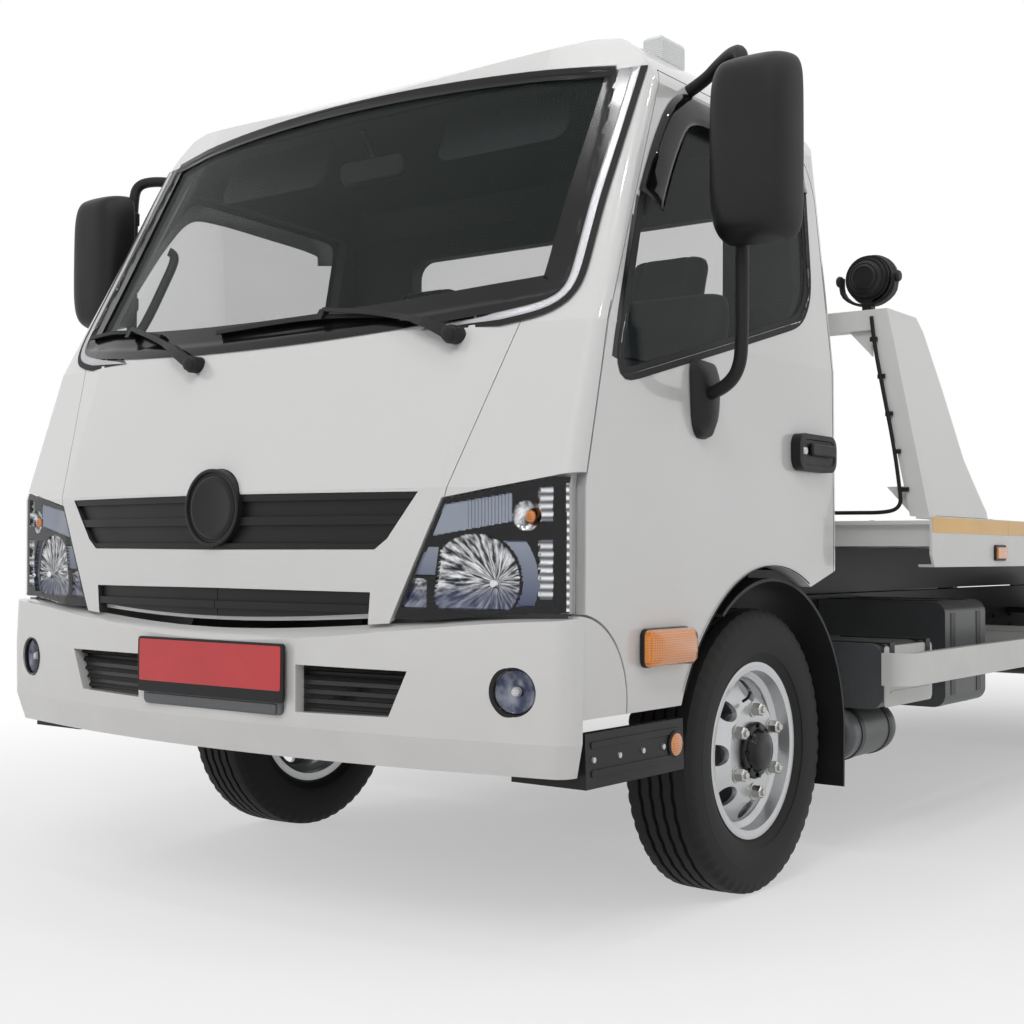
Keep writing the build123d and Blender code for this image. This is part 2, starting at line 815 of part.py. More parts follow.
# Leaf springs with their eyes and hangers
with BuildPart() as leaf_springs:
    for side in sides:
        with BuildSketch(Plane.YZ.offset(side * 355)):
            with BuildLine():
                ThreePointArc((-560, 432), (0, beam_top + 18 + fit), (600, 432))
            trace(line_width=36)
        extrude(amount=side * 60)
        for y in (-560, 600):
            tube_x(y, 432, 26, side * 355, side * 415)
            slab(side * 355, side * 415, y - 24, y + 24, 432, rail_bottom - fit)
        with BuildSketch(Plane.YZ.offset(side * (rear_spring_x - 30))):
            with BuildLine():
                ThreePointArc((wheelbase - 650, 560), (wheelbase, rear_spring_z), (wheelbase + 650, 560))
            trace(line_width=50)
        extrude(amount=side * 60)
        for y in (wheelbase - 650, wheelbase + 650):
            tube_x(y, 560, 32, side * (rail_outer_x + fit), side * (rear_spring_x + 30))
save(leaf_springs, "leaf_springs")

# Propeller shaft from the gearbox to the pinion nose
shaft_start = Vector(0, 1066, 560)
shaft_end = Vector(0, wheelbase - 241, 402)
with BuildPart() as drive_shaft:
    with BuildSketch(Plane(origin=shaft_start, z_dir=shaft_end - shaft_start)):
        Circle(38)
    extrude(amount=(shaft_end - shaft_start).length - 2)
    with BuildSketch(Plane(origin=shaft_start, z_dir=shaft_end - shaft_start)):
        Circle(56)
    extrude(amount=26)
save(drive_shaft, "drive_shaft")

# Knuckles: a fork about the kingpin boss, a backing disc and the stub axle
for side, hand in ((1, "left"), (-1, "right")):
    with BuildPart() as knuckle:
        for low, high in ((297, 327), (440, 470)):
            with BuildSketch(Plane.XY.offset(low)):
                with Locations((side * kingpin_x, 0)):
                    Circle(38)
                with Locations((side * (kingpin_x + 37), 0)):
                    Rectangle(76, 76)
                with Locations((side * kingpin_x, 0)):
                    Circle(kingpin_radius + fit, mode=Mode.SUBTRACT)
            extrude(amount=high - low)
        slab(side * (kingpin_x + 46), side * (kingpin_x + 75), -38, 38, 297, 470)
        tube_x(0, tyre_radius, 160, side * (kingpin_x + 70), side * (kingpin_x + 80))
        tube_x(0, tyre_radius, spindle_radius, side * (kingpin_x + 60), side * (front_wheel_x + 56))
    save(knuckle, f"knuckle_{hand}")

# Rim section, as (axial, radius) points about the middle of the wheel
rim_points = [
    (-82, 238), (-76, 238), (-74, 222), (-42, 220), (-32, 203), (32, 203),
    (42, 220), (74, 222), (76, 238), (82, 238), (82, 230), (80, 215),
    (46, 212), (36, 196), (-36, 196), (-46, 212), (-80, 215), (-82, 230),
]
# Tyre section, as (axial, radius) points about the middle of the wheel
tyre_points = [
    (-66, bead_radius), (-tyre_half_width, 300), (-98, 362), (-80, tyre_radius),
    (80, tyre_radius), (98, 362), (tyre_half_width, 300), (66, bead_radius),
]


def wheel_ring(points, x, y, facing):
    """A ring about a level axle, in the current part."""
    with BuildSketch(Plane(origin=(x, y, tyre_radius), x_dir=(facing, 0, 0), z_dir=(0, 0, 1))) as section:
        with BuildLine():
            Polyline(*points, close=True)
        make_face()
    revolve(section.sketch, axis=Axis((x, y, tyre_radius), (1, 0, 0)))


def disc_holes(x, y, count, circle, radius, depth, mode):
    """A ring of round holes or nuts along the axle, in the current part."""
    with BuildSketch(Plane(origin=(x, y, tyre_radius), x_dir=(0, 1, 0), z_dir=(1, 0, 0))) as ring:
        with PolarLocations(circle, count, start_angle=90):
            Circle(radius)
    extrude(ring.sketch, amount=depth, mode=mode)


front_disc = [
    (16, 199), (28, 199), (72, 141), (78, 130),
    (78, hub_radius - 6), (66, hub_radius - 6), (66, 126), (60, 137),
]
front_hub = [
    (0, spindle_radius + fit), (0, 95), (14, 95), (20, hub_radius), (66, hub_radius),
    (100, 52), (112, 44), (112, 0), (60, 0), (60, spindle_radius + fit),
]
twin_disc = [
    (16, 199), (28, 199), (104, 150), (122, 136),
    (122, hub_radius - 4), (112, hub_radius - 4), (112, 132), (94, 146),
]
twin_hub = [
    (-190, rear_spindle_radius + fit), (-190, 165), (-25, 165), (-25, 90), (-12, hub_radius),
    (110, hub_radius), (146, 56), (146, 0), (116, 0), (116, rear_spindle_radius + fit),
]
twin_plane_x = (twin_inner_x + twin_outer_x) / 2

for side, hand in ((1, "left"), (-1, "right")):
    with BuildPart() as front_rim:
        x = side * front_wheel_x
        wheel_ring(rim_points, x, 0, side)
        wheel_ring(front_disc, x, 0, side)
        disc_holes(x, 0, hand_holes, hand_hole_circle, hand_hole_radius, side * 120, Mode.SUBTRACT)
        wheel_ring(front_hub, x, 0, side)
        disc_holes(x + side * 76, 0, wheel_studs, stud_circle, 15, side * 28, Mode.ADD)
    save(front_rim, f"rim_front_{hand}")

    with BuildPart() as front_tyre:
        wheel_ring(tyre_points, side * front_wheel_x, 0, side)
    save(front_tyre, f"tyre_front_{hand}")

    with BuildPart() as rear_rims:
        x = side * twin_plane_x
        wheel_ring(rim_points, side * twin_inner_x, wheelbase, side)
        wheel_ring(rim_points, side * twin_outer_x, wheelbase, -side)
        wheel_ring(twin_disc, side * twin_inner_x, wheelbase, side)
        wheel_ring(twin_disc, side * twin_outer_x, wheelbase, -side)
        holes_x = x - side * 60
        disc_holes(
            holes_x, wheelbase, hand_holes, hand_hole_circle + 8, hand_hole_radius, side * 120, Mode.SUBTRACT
        )
        wheel_ring(twin_hub, x, wheelbase, side)
        disc_holes(x, wheelbase, wheel_studs, stud_circle, 15, side * 40, Mode.ADD)
    save(rear_rims, f"rims_rear_{hand}")

    with BuildPart() as rear_tyres:
        wheel_ring(tyre_points, side * twin_inner_x, wheelbase, side)
        wheel_ring(tyre_points, side * twin_outer_x, wheelbase, side)
    save(rear_tyres, f"tyres_rear_{hand}")

# Tanks and the battery box on the rails
with BuildPart() as tanks:
    slab(rail_outer_x + fit, 900, 1436, 1841, 381, 750)
    slab(-900, -rail_outer_x - fit, 760, 1560, 390, 720)
    slab(rail_outer_x + fit, 985, 690, 1080, 440, 640)
    fillet(tanks.edges().filter_by(Axis.Y).filter_by(lambda e: abs(e.center().X) > 800), 45)
    with BuildSketch(Plane.XZ.offset(-1010)) as air_end:
        with Locations((820, 440 - fit - 84)):
            Circle(84)
    extrude(amount=360)
    fillet(tanks.edges().filter_by(GeomType.CIRCLE).filter_by(lambda e: e.radius > 80), 30)
save(tanks, "tanks")

with BuildPart() as muffler:
    with BuildSketch(Plane.XZ.offset(-2540)):
        with Locations((-600, 560)):
            Circle(92)
    extrude(amount=520)
    fillet(muffler.edges().filter_by(GeomType.CIRCLE), 25)
    slab(-560, -rail_outer_x - fit, 2260, 2300, 545, 575)
    with BuildSketch(Plane.XZ.offset(-2530)):
        with Locations((-600, 505)):
            Circle(32)
    extrude(amount=-360)
save(muffler, "muffler")

# Side guards: flat bars with their front ends turned in, on posts from the rails
with BuildPart() as side_guards:
    for side in sides:
        with BuildSketch(Plane.XY.offset(519)):
            with BuildLine():
                FilletPolyline((side * 1000, 655), (side * 1078, 655), (side * 1078, 3330), radius=55)
            trace(line_width=25)
        extrude(amount=98)
        for y in (1930, 2620, 3120):
            slab(side * (rail_outer_x + fit), side * 1070, y - 25, y + 25, 545, 595)
save(side_guards, "side_guards")

# Fixed subframe: a cab support hoop over the gearbox, and sills with the platform's tilt pins
with BuildPart() as subframe:
    with BuildSketch(Plane.XZ.offset(-300)):
        with BuildLine():
            FilletPolyline((-385, 600), (-385, 915), (385, 915), (385, 600), radius=60)
        trace(line_width=50)
    extrude(amount=50)
    for side in sides:
        slab(side * 220, side * 300, 250, 300, 930, seat_base_z - fit)
    slab(-460, 460, 240, 310, 500, rail_top + fit, Mode.SUBTRACT)
    for side in sides:
        with BuildSketch(Plane.YZ.offset(side * 352)):
            with BuildLine():
                Polyline((720, rail_top + fit), (720, 700), (780, beam_bottom - 7), (4820, beam_bottom - 7),
                         (4870, 745), (4950, 690), (4950, rail_top + fit), close=True)
            make_face()
            with Locations((tilt_pivot_y, tilt_pivot_z)):
                Circle(41)
        extrude(amount=side * 66)
        tube_x(tilt_pivot_y, tilt_pivot_z, 22, side * 400, side * 456)
save(subframe, "subframe")

# Rear under-run bar with its arms, and the tail lamps on it
with BuildPart() as rear_bar:
    with BuildSketch(Plane.YZ.offset(-1050)) as bar_side:
        with Locations((5110, 450)):
            RectangleRounded(60, 110, 12)
    extrude(amount=2100)
    for side in sides:
        arm_front_y = rail_rear_y + fit
        side_prism(
            [(arm_front_y, 490), (arm_front_y, 650), (5040, 640), (5110, 500), (5110, 410), (5082, 410)],
            side * 354,
            side * 414,
        )
save(rear_bar, "rear_bar")

with BuildPart() as tail_lamps:
    for side in sides:
        slab(side * 780, side * 1040, 5085, 5135, 505 + fit, 605)
    fillet(tail_lamps.edges().filter_by(Axis.Z), 10)
save(tail_lamps, "tail_lamps")

# Tilt frame: two channel beams, cross members, pivot ears and lift lugs
tilt_members = [940, 1720, 2500, 3450, lift_eye[0], 5040]
with BuildPart() as tilt_frame:
    with BuildSketch(Plane.XZ.offset(-beam_rear_y)):
        with BuildLine():
            Polyline(
                (beam_inner_x, beam_bottom),
                (beam_outer_x, beam_bottom),
                (beam_outer_x, cross_bottom - 1),
                (beam_inner_x, cross_bottom - 1),
                (beam_inner_x, cross_bottom - 9),
                (beam_outer_x - 8, cross_bottom - 9),
                (beam_outer_x - 8, beam_bottom + 8),
                (beam_inner_x, beam_bottom + 8),
                close=True,
            )
        make_face()
        mirror(about=Plane.YZ)
    extrude(amount=beam_rear_y - beam_front_y)
    for y in tilt_members:
        slab(-beam_outer_x + 4, beam_outer_x - 4, y - 30, y + 30, beam_bottom + 14, 840)
    for side in sides:
        slab(side * (beam_outer_x - 2), side * 450, 4840, 4960, 790, 900)
        with BuildSketch(Plane.YZ.offset(side * 426)):
            with BuildLine():
                Polyline((4840, 900), (4960, 900), (4944, tilt_pivot_z), (4856, tilt_pivot_z), close=True)
            make_face()
            with Locations((tilt_pivot_y, tilt_pivot_z)):
                Circle(44)
                Circle(22 + fit, mode=Mode.SUBTRACT)
        extrude(amount=side * 24)
        for x in (lift_x - 44, lift_x + 32):
            with BuildSketch(Plane.YZ.offset(side * x)):
                with Locations(lift_eye):
                    Circle(34)
                with BuildLine():
                    Polyline(
                        (lift_eye[0] - 34, lift_eye[1]),
                        (lift_eye[0] + 34, lift_eye[1]),
                        (lift_eye[0] + 30, 790),
                        (lift_eye[0] - 30, 790),
                        close=True,
                    )
                make_face()
            extrude(amount=side * 12)
        tube_x(lift_eye[0], lift_eye[1], lift_pin, side * (lift_x - 44), side * (lift_x + 44))
save(tilt_frame, "tilt_frame")

# Slide cylinder: the barrel lies on the tilt frame, the rod draws the deck
with BuildPart() as slide_barrel:
    with BuildSketch(Plane.XZ.offset(-4690)):
        with Locations((0, slide_axis_z)):
            Circle(37)
    extrude(amount=2740)
    with BuildSketch(Plane.XZ.offset(-4660)):
        with Locations((0, slide_axis_z)):
            Circle(30)
    extrude(amount=2690, mode=Mode.SUBTRACT)
    with BuildSketch(Plane.XZ.offset(-4691)):
        with Locations((0, slide_axis_z)):
            Circle(22 + fit)
    extrude(amount=60, mode=Mode.SUBTRACT)
    for y in (2500, 3450, lift_eye[0]):
        with BuildSketch(Plane.YZ.offset(-28)):
            with BuildLine():
                Polyline((y - 25, 840 + fit), (y + 25, 840 + fit), (y + 25, 862), (y - 25, 862), close=True)
            make_face()
        extrude(amount=56)
save(slide_barrel, "slide_barrel")

with BuildPart() as slide_rod:
    with BuildSketch(Plane.XZ.offset(-4760)):
        with Locations((0, slide_axis_z)):
            Circle(22)
    extrude(amount=2770)
    with BuildSketch(Plane.XZ.offset(-2014)):
        with Locations((0, slide_axis_z)):
            Circle(30 - fit)
    extrude(amount=30)
    slab(-28, 28, 4752, 4806, slide_axis_z - 24, cross_bottom - fit)
save(slide_rod, "slide_rod")

# Lift cylinders between the ladder frame and the tilt frame
lift_line = Vector(0, lift_eye[0] - lift_base[0], lift_eye[1] - lift_base[1])
lift_length = lift_line.length
barrel_end = lift_length - 100
for side, hand in ((1, "left"), (-1, "right")):
    foot = Vector(side * lift_x, *lift_base)
    aim = Plane(origin=foot, x_dir=(1, 0, 0), z_dir=lift_line)
    with BuildPart() as lift_barrel:
        tube_x(*lift_base, 44, side * (lift_x - 28), side * (lift_x + 28))
        with BuildSketch(aim.offset(30)):
            Circle(44)
        extrude(amount=barrel_end - 30)
        with BuildSketch(aim.offset(55)):
            Circle(33)
        extrude(amount=barrel_end - 75, mode=Mode.SUBTRACT)
        with BuildSketch(aim.offset(barrel_end - 30)):
            Circle(24 + fit)
        extrude(amount=40, mode=Mode.SUBTRACT)
        tube_x(*lift_base, member_radius + fit, side * (lift_x - 40), side * (lift_x + 40), Mode.SUBTRACT)
    save(lift_barrel, f"lift_barrel_{hand}")

    with BuildPart() as lift_rod:
        with BuildSketch(aim.offset(62)):
            Circle(24)
        extrude(amount=lift_length - 82)
        with BuildSketch(aim.offset(60)):
            Circle(33 - fit)
        extrude(amount=25)
        tube_x(*lift_eye, 36, side * (lift_x - 27), side * (lift_x + 27))
        tube_x(*lift_eye, lift_pin + 4, side * (lift_x - 40), side * (lift_x + 40), Mode.SUBTRACT)
    save(lift_rod, f"lift_rod_{hand}")

# Deck: side rails, cross members, runners and plate, bevelled underneath at the tail
deck_members = [690, 1280, 1860, 2440, 3020, 3600, 4180, 4780, 5380, 5900]
plate_top = 1017
anchor_y = 1500
anchor_pitch = 120
anchor_hole = 13.5
with BuildPart() as deck:
    with BuildSketch(Plane.XZ.offset(-deck_rear_y)):
        with BuildLine():
            Polyline(
                (deck_half - 50, side_rail_bottom),
                (deck_half, side_rail_bottom),
                (deck_half, side_rail_top),
                (deck_half - 50, side_rail_top),
                (deck_half - 50, side_rail_top - 8),
                (deck_half - 8, side_rail_top - 8),
                (deck_half - 8, side_rail_bottom + 8),
                (deck_half - 50, side_rail_bottom + 8),
                close=True,
            )
        make_face()
        with Locations((runner_x, (runner_bottom + cross_bottom) / 2 + 5)):
            Rectangle(runner_width, cross_bottom - runner_bottom + 10)
        mirror(about=Plane.YZ)
    extrude(amount=deck_rear_y - deck_front_y)
    slab(-deck_half + 6, deck_half - 6, deck_front_y, deck_rear_y, plate_top - deck_plate, plate_top)
    for y in deck_members:
        slab(-deck_half + 6, deck_half - 6, y - 30, y + 30, cross_bottom, plate_top - 2)
    tail_y = deck_rear_y + 20
    side_prism(
        [(5690, 700), (5690, side_rail_bottom - 2), (tail_y, 992), (tail_y, 700)],
        -1300,
        1300,
        Mode.SUBTRACT,
    )
    nose_y = deck_front_y - 10
    side_prism([(nose_y, 800), (nose_y, 930), (nose_y + 80, 800)], -1300, 1300, Mode.SUBTRACT)
    with BuildSketch(Plane.XY.offset(plate_top - 40)):
        with Locations((0, anchor_y)):
            with GridLocations(anchor_pitch, anchor_pitch, 2, 2):
                Circle(anchor_hole / 2)
    extrude(amount=60, mode=Mode.SUBTRACT)
save(deck, "deck")

# Headboard: trapezoid frame with inner uprights and leaning side wings
wing_lean = Vector(-headboard_lean, 0, 1).normalized()
leg_foot = 1150
with BuildPart() as headboard:
    with BuildSketch(Plane.XZ.offset(-deck_front_y - 55)):
        with BuildLine():
            Polyline(
                (-leg_foot, side_rail_top + fit),
                (leg_foot, side_rail_top + fit),
                (leg_foot - 131, headboard_top),
                (-leg_foot + 131, headboard_top),
                close=True,
            )
        make_face()
        with BuildLine():
            Polyline(
                (-leg_foot + 56, side_rail_top - 20),
                (leg_foot - 56, side_rail_top - 20),
                (leg_foot - 178, headboard_top - 63),
                (-leg_foot + 178, headboard_top - 63),
                close=True,
            )
        make_face(mode=Mode.SUBTRACT)
        upright_foot = plate_top + fit
        with Locations((0, (upright_foot + headboard_top) / 2)):
            with GridLocations(1040, 0, 2, 1):
                Rectangle(50, headboard_top - upright_foot)
    extrude(amount=50)
    for side in sides:
        with BuildSketch(Plane(origin=(side * leg_foot, 0, side_rail_top + fit + 2), x_dir=(0, 1, 0),
                               z_dir=(wing_lean.Z, 0, -side * wing_lean.X))) as wing:
            with BuildLine():
                Polyline(
                    (deck_front_y + 30, 0), (1150, 0), (1150, 22), (1098, 98), (1040, 190), (1012, 290),
                    (975, 420), (912, 600), (875, 644), (deck_front_y + 30, 644), close=True,
                )
            make_face()
            fillet(wing.vertices().sort_by(Axis.Y)[-3:-1], 10)
        extrude(amount=-side * 9)
save(headboard, "headboard")

with BuildPart() as work_lamps:
    for side in sides:
        lamp_middle = (side * 949, deck_front_y + 30, 1762)
        with BuildSketch(Plane(origin=lamp_middle, x_dir=(0, 1, 0), z_dir=(0, 0, 1))):
            with BuildLine():
                Polyline((-45, 0), (-45, 34), (-20, 62), (24, 78), (40, 78), (40, 70), (46, 0), close=True)
            make_face()
        revolve(axis=Axis(lamp_middle, (0, 1, 0)))
        slab(side * 934, side * 964, deck_front_y + 15, deck_front_y + 45, headboard_top + fit, 1705)
save(work_lamps, "work_lamps")

with BuildPart() as side_markers:
    for side in sides:
        for y in (1229, 2300, 3400, 4500, 5560):
            slab(side * (deck_half + fit), side * (deck_half + 14), y - 45, y + 45, 904, 940)
save(side_markers, "side_markers")

with BuildPart() as winch:
    slab(-230, 230, 800, 1020, plate_top + fit, plate_top + 12)
    for side in sides:
        with BuildSketch(Plane.YZ.offset(side * 190)):
            with BuildLine():
                Polyline(
                    (810, plate_top + 10),
                    (1010, plate_top + 10),
                    (970, plate_top + 190),
                    (850, plate_top + 190),
                    close=True,
                )
            make_face()
        extrude(amount=side * 20)
    tube_x(910, plate_top + 105, 62, -195, 195)
    tube_x(910, plate_top + 105, 48, 205, 300)
save(winch, "winch")
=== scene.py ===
# %% [markdown]
# # A flatbed recovery truck
# The solids of the truck come from the CAD frame, in metres, with +Z up, +Y towards the tail and
# +X towards the driver's side. This lesson dresses them: first the camera and the studio, then the
# finishes, then the pieces that CAD leaves plain, such as tread, lamps' insides, trim and cushions.

# %% Load the frame
import bpy
import bmesh
import json
from math import atan2, cos, hypot, pi, radians, sin
from mathutils import Matrix, Vector
from mathutils.bvhtree import BVHTree


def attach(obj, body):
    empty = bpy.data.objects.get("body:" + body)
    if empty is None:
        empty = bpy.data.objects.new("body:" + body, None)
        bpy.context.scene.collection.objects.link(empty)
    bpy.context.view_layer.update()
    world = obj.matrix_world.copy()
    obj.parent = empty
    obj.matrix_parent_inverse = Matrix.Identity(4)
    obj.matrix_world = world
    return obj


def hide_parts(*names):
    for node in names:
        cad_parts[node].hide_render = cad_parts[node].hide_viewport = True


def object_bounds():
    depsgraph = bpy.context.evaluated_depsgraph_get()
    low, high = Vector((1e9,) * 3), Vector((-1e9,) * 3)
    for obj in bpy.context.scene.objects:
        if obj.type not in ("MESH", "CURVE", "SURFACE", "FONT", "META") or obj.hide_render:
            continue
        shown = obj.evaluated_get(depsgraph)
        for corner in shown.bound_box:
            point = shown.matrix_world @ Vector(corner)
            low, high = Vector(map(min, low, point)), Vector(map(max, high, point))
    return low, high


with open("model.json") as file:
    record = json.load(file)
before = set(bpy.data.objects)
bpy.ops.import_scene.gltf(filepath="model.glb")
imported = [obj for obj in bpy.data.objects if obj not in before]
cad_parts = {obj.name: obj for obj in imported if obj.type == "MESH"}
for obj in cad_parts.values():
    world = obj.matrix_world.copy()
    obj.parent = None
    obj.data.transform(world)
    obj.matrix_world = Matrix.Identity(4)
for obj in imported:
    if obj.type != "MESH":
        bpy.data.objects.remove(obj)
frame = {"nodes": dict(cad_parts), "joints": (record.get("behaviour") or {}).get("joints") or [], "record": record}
cad_low, cad_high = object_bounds()
nodes = frame["nodes"]
joint_at = {j["name"]: Vector(j["pos_m"]) for j in frame["joints"] if "pos_m" in j}
AXLE_Y = joint_at["steer_left"].y
REAR_AXLE_Y = joint_at["spin_rear_left"].y
WHEEL_HEIGHT = 1000 * joint_at["steer_left"].z
SIDES = ((1, "left"), (-1, "right"))
scene = bpy.context.scene
print("CAD nodes", len(nodes), "box", [round(v, 3) for v in cad_high - cad_low])


def at(x, y, z):
    """A point in millimetres, measured from the front axle's middle at ground level."""
    return Vector((x / 1000, y / 1000 + AXLE_Y, z / 1000))


# %% [markdown]
# ## Camera
# The photograph was taken close to the truck's front left corner with a normal lens, a little below
# the height of an eye. Its place came from solving the perspective of the wheels and the cab's edges,
# so the camera is written down as a place, three angles and a focal length.

# %% Camera
CAMERA_AT = at(2799.6, -3620.7, 915.3)
CAMERA_TURN, CAMERA_RISE, CAMERA_ROLL = radians(36.87), radians(1.56), radians(0.30)
forward = Vector((-sin(CAMERA_TURN) * cos(CAMERA_RISE), cos(CAMERA_TURN) * cos(CAMERA_RISE), sin(CAMERA_RISE)))
level = Vector((cos(CAMERA_TURN), sin(CAMERA_TURN), 0))
upward = level.cross(forward)
right = cos(CAMERA_ROLL) * level + sin(CAMERA_ROLL) * upward
above = cos(CAMERA_ROLL) * upward - sin(CAMERA_ROLL) * level
camera = bpy.data.objects.new("photo_camera", bpy.data.cameras.new("photo_camera"))
scene.collection.objects.link(camera)
camera.matrix_world = Matrix.Translation(CAMERA_AT) @ Matrix((right, above, -forward)).transposed().to_4x4()
camera.data.sensor_width = 36
camera.data.lens = 52.13
camera.data.clip_end = 200
scene.camera = camera
print("camera at", [round(v, 3) for v in CAMERA_AT])

# %% [markdown]
# ## Shader expressions
# Node trees are easier to read as arithmetic. A small class holds one socket, and adding or
# multiplying two of them adds the Math nodes. Every other node comes from one method.


# %% Shader classes
class Value:
    """A socket of a node tree; arithmetic on it adds Math nodes."""

    def __init__(self, nodes, socket):
        self.nodes = nodes
        self.socket = socket

    def math(self, operation, *terms):
        return self.nodes.node("ShaderNodeMath", {"operation": operation}, dict(enumerate(terms)))

    def __add__(self, other):
        return self.math("ADD", self, other)

    def __sub__(self, other):
        return self.math("SUBTRACT", self, other)

    def __rsub__(self, other):
        return self.math("SUBTRACT", other, self)

    def __mul__(self, other):
        return self.math("MULTIPLY", self, other)

    def clamped(self):
        return self.nodes.node("ShaderNodeClamp", {}, {"Value": self})

    __radd__ = __add__
    __rmul__ = __mul__


class Nodes:
    """A node tree, written as expressions on sockets."""

    def __init__(self, tree):
        self.tree = tree

    def node(self, kind, settings=None, sockets=None, output=0):
        made = self.tree.nodes.new(kind)
        for key, value in (settings or {}).items():
            setattr(made, key, value)
        for key, value in (sockets or {}).items():
            self.feed(made.inputs[key], value)
        return Value(self, made.outputs[output])

    def feed(self, socket, value):
        if isinstance(value, Value):
            self.tree.links.new(value.socket, socket)
        else:
            socket.default_value = value

    def looked_at(self):
        """1 for rays that look, straight or by mirror or glass, and 0 for light that only falls."""
        mask = self.node("ShaderNodeLightPath", output="Is Camera Ray")
        for kind in ("Is Glossy Ray", "Is Transmission Ray"):
            mask = mask.math("MAXIMUM", mask, self.node("ShaderNodeLightPath", output=kind))
        return mask


print("node classes ready")

# %% [markdown]
# A finish is one material. Its methods give the masks that weather a surface, such as noise, height and
# the way a face points, and set the shader's sockets by name.

# %% Finish class
class Finish(Nodes):
    """A material with one Principled shader."""

    def __init__(self, name):
        self.material = bpy.data.materials.new(name)
        self.material.use_nodes = True
        super().__init__(self.material.node_tree)
        self.shader = self.tree.nodes["Principled BSDF"]
        self.place = self.node("ShaderNodeTexCoord", output="Object")

    def noise(self, scale, detail=3.0):
        return self.node("ShaderNodeTexNoise", {}, {"Vector": self.place, "Scale": scale, "Detail": detail})

    def axis(self, letter):
        return self.node("ShaderNodeSeparateXYZ", {}, {0: self.place}, letter)

    def blend(self, mask, first, second):
        sockets = {0: mask, 6: first, 7: second}
        return self.node("ShaderNodeMix", {"data_type": "RGBA"}, sockets, 2)

    def spread(self, value, low, high):
        """The value stretched so that low becomes 0 and high becomes 1."""
        return self.node("ShaderNodeMapRange", {}, {"Value": value, "From Min": low, "From Max": high})

    def facing_up(self):
        return self.node("ShaderNodeSeparateXYZ", {}, {0: self.node("ShaderNodeNewGeometry", output="Normal")}, "Z")

    def facing_in(self, centre):
        """1 on faces that look towards a centre, and 0 on faces that look away from it."""
        reach = self.node("ShaderNodeVectorMath", {"operation": "SUBTRACT"}, {0: self.place, 1: centre})
        facing = self.node("ShaderNodeTexCoord", output="Normal")
        along = self.node("ShaderNodeVectorMath", {"operation": "DOT_PRODUCT"}, {0: reach, 1: facing}, "Value")
        return along.math("LESS_THAN", along, 0.0)

    def bumps(self, height, distance, strength=1.0):
        sockets = {"Height": height, "Distance": distance, "Strength": strength}
        self.feed(self.shader.inputs["Normal"], self.node("ShaderNodeBump", {}, sockets))

    def look(self, **sockets):
        for key, value in sockets.items():
            self.feed(self.shader.inputs[key.replace("_", " ")], value)
        return self


def tone(red, green, blue):
    return (red, green, blue, 1)


print("finish class ready")

# %% [markdown]
# ## Paints
# The cab has a pearl white coat under clear lacquer. Faint unevenness in the lacquer and a little road
# film low on the panels keep it from looking like plastic. Faces of the cab and the doors that look
# inward turn near-black grey and lose the lacquer: partly the trim's own colour, partly painted shade
# that keeps the cabin dark. The platform's paint is a plainer white
# with more dust, and the frame's black paint gathers pale dust on every face that looks up.


# %% Paints
CABIN_CENTRE = at(0, -250, 1500)
# Near-black grey for inward faces: trim colour deepened into painted shade inside the cabin.
TRIM_AND_SHADE_GREY = (0.035, 0.036, 0.039)


def painted(name, base, film, film_height, film_share, roughness, lacquer, lined_and_shaded=False):
    made = Finish(name)
    low_down = 1 - made.spread(made.axis("Z"), 0.35, film_height)
    dirt = (low_down * made.noise(9.0, 5.0) * film_share).clamped()
    cloud = made.spread(made.noise(1.3), 0.35, 0.65)
    ground = made.blend(cloud * 0.25, tone(*base), tone(*[0.94 * part for part in base]))
    coloured, dull, shine = made.blend(dirt, ground, tone(*film)), roughness + dirt * 0.5, lacquer * (1 - dirt)
    if lined_and_shaded:
        # Inward faces turn near-black grey: partly trim colour, partly painted shade that keeps the cabin dark.
        inside = made.facing_in(CABIN_CENTRE)
        coloured = made.blend(inside, coloured, tone(*TRIM_AND_SHADE_GREY))
        dull, shine = dull + inside * 0.4, shine * (1 - inside)
    made.look(Base_Color=coloured, Roughness=dull, Coat_Weight=shine, Coat_Roughness=0.04)
    made.bumps(made.noise(420.0, 1.0), 0.00004, 0.25)
    return made


def dusty(name, base, dust, share, roughness, grain=160.0):
    made = Finish(name)
    settled = made.spread(made.facing_up(), 0.2, 1.0) * made.spread(made.noise(14.0, 6.0), 0.35, 0.7)
    speck = made.spread(made.noise(90.0, 2.0), 0.45, 0.8)
    mask = ((settled + speck * 0.25) * share).clamped()
    made.look(Base_Color=made.blend(mask, tone(*base), tone(*dust)), Roughness=roughness + mask * 0.3)
    made.bumps(made.noise(grain, 3.0), 0.0003, 0.4)
    return made


PEARL = (0.72, 0.715, 0.71)
ROAD_FILM = (0.50, 0.47, 0.43)
cab_paint = painted("pearl_white_lacquer", PEARL, ROAD_FILM, 1.0, 0.35, 0.30, 1.0, True)
bumper_paint = painted("pearl_white_bumper", PEARL, ROAD_FILM, 0.9, 0.4, 0.32, 1.0)
deck_paint = painted("platform_white", (0.77, 0.77, 0.76), (0.46, 0.44, 0.41), 1.4, 0.4, 0.42, 0.35)
frame_black = dusty("frame_black_paint", (0.017, 0.017, 0.018), (0.13, 0.12, 0.105), 0.5, 0.42)
cast_metal = dusty("dark_cast_metal", (0.055, 0.055, 0.058), (0.16, 0.14, 0.12), 0.6, 0.55, 60.0)
cast_metal.look(Metallic=0.55)
tank_paint = dusty("tank_grey_paint", (0.10, 0.105, 0.11), (0.2, 0.19, 0.17), 0.5, 0.38)
wheel_silver = dusty("wheel_silver_paint", (0.60, 0.61, 0.62), (0.34, 0.32, 0.29), 0.35, 0.30)
wheel_silver.look(Metallic=0.75)
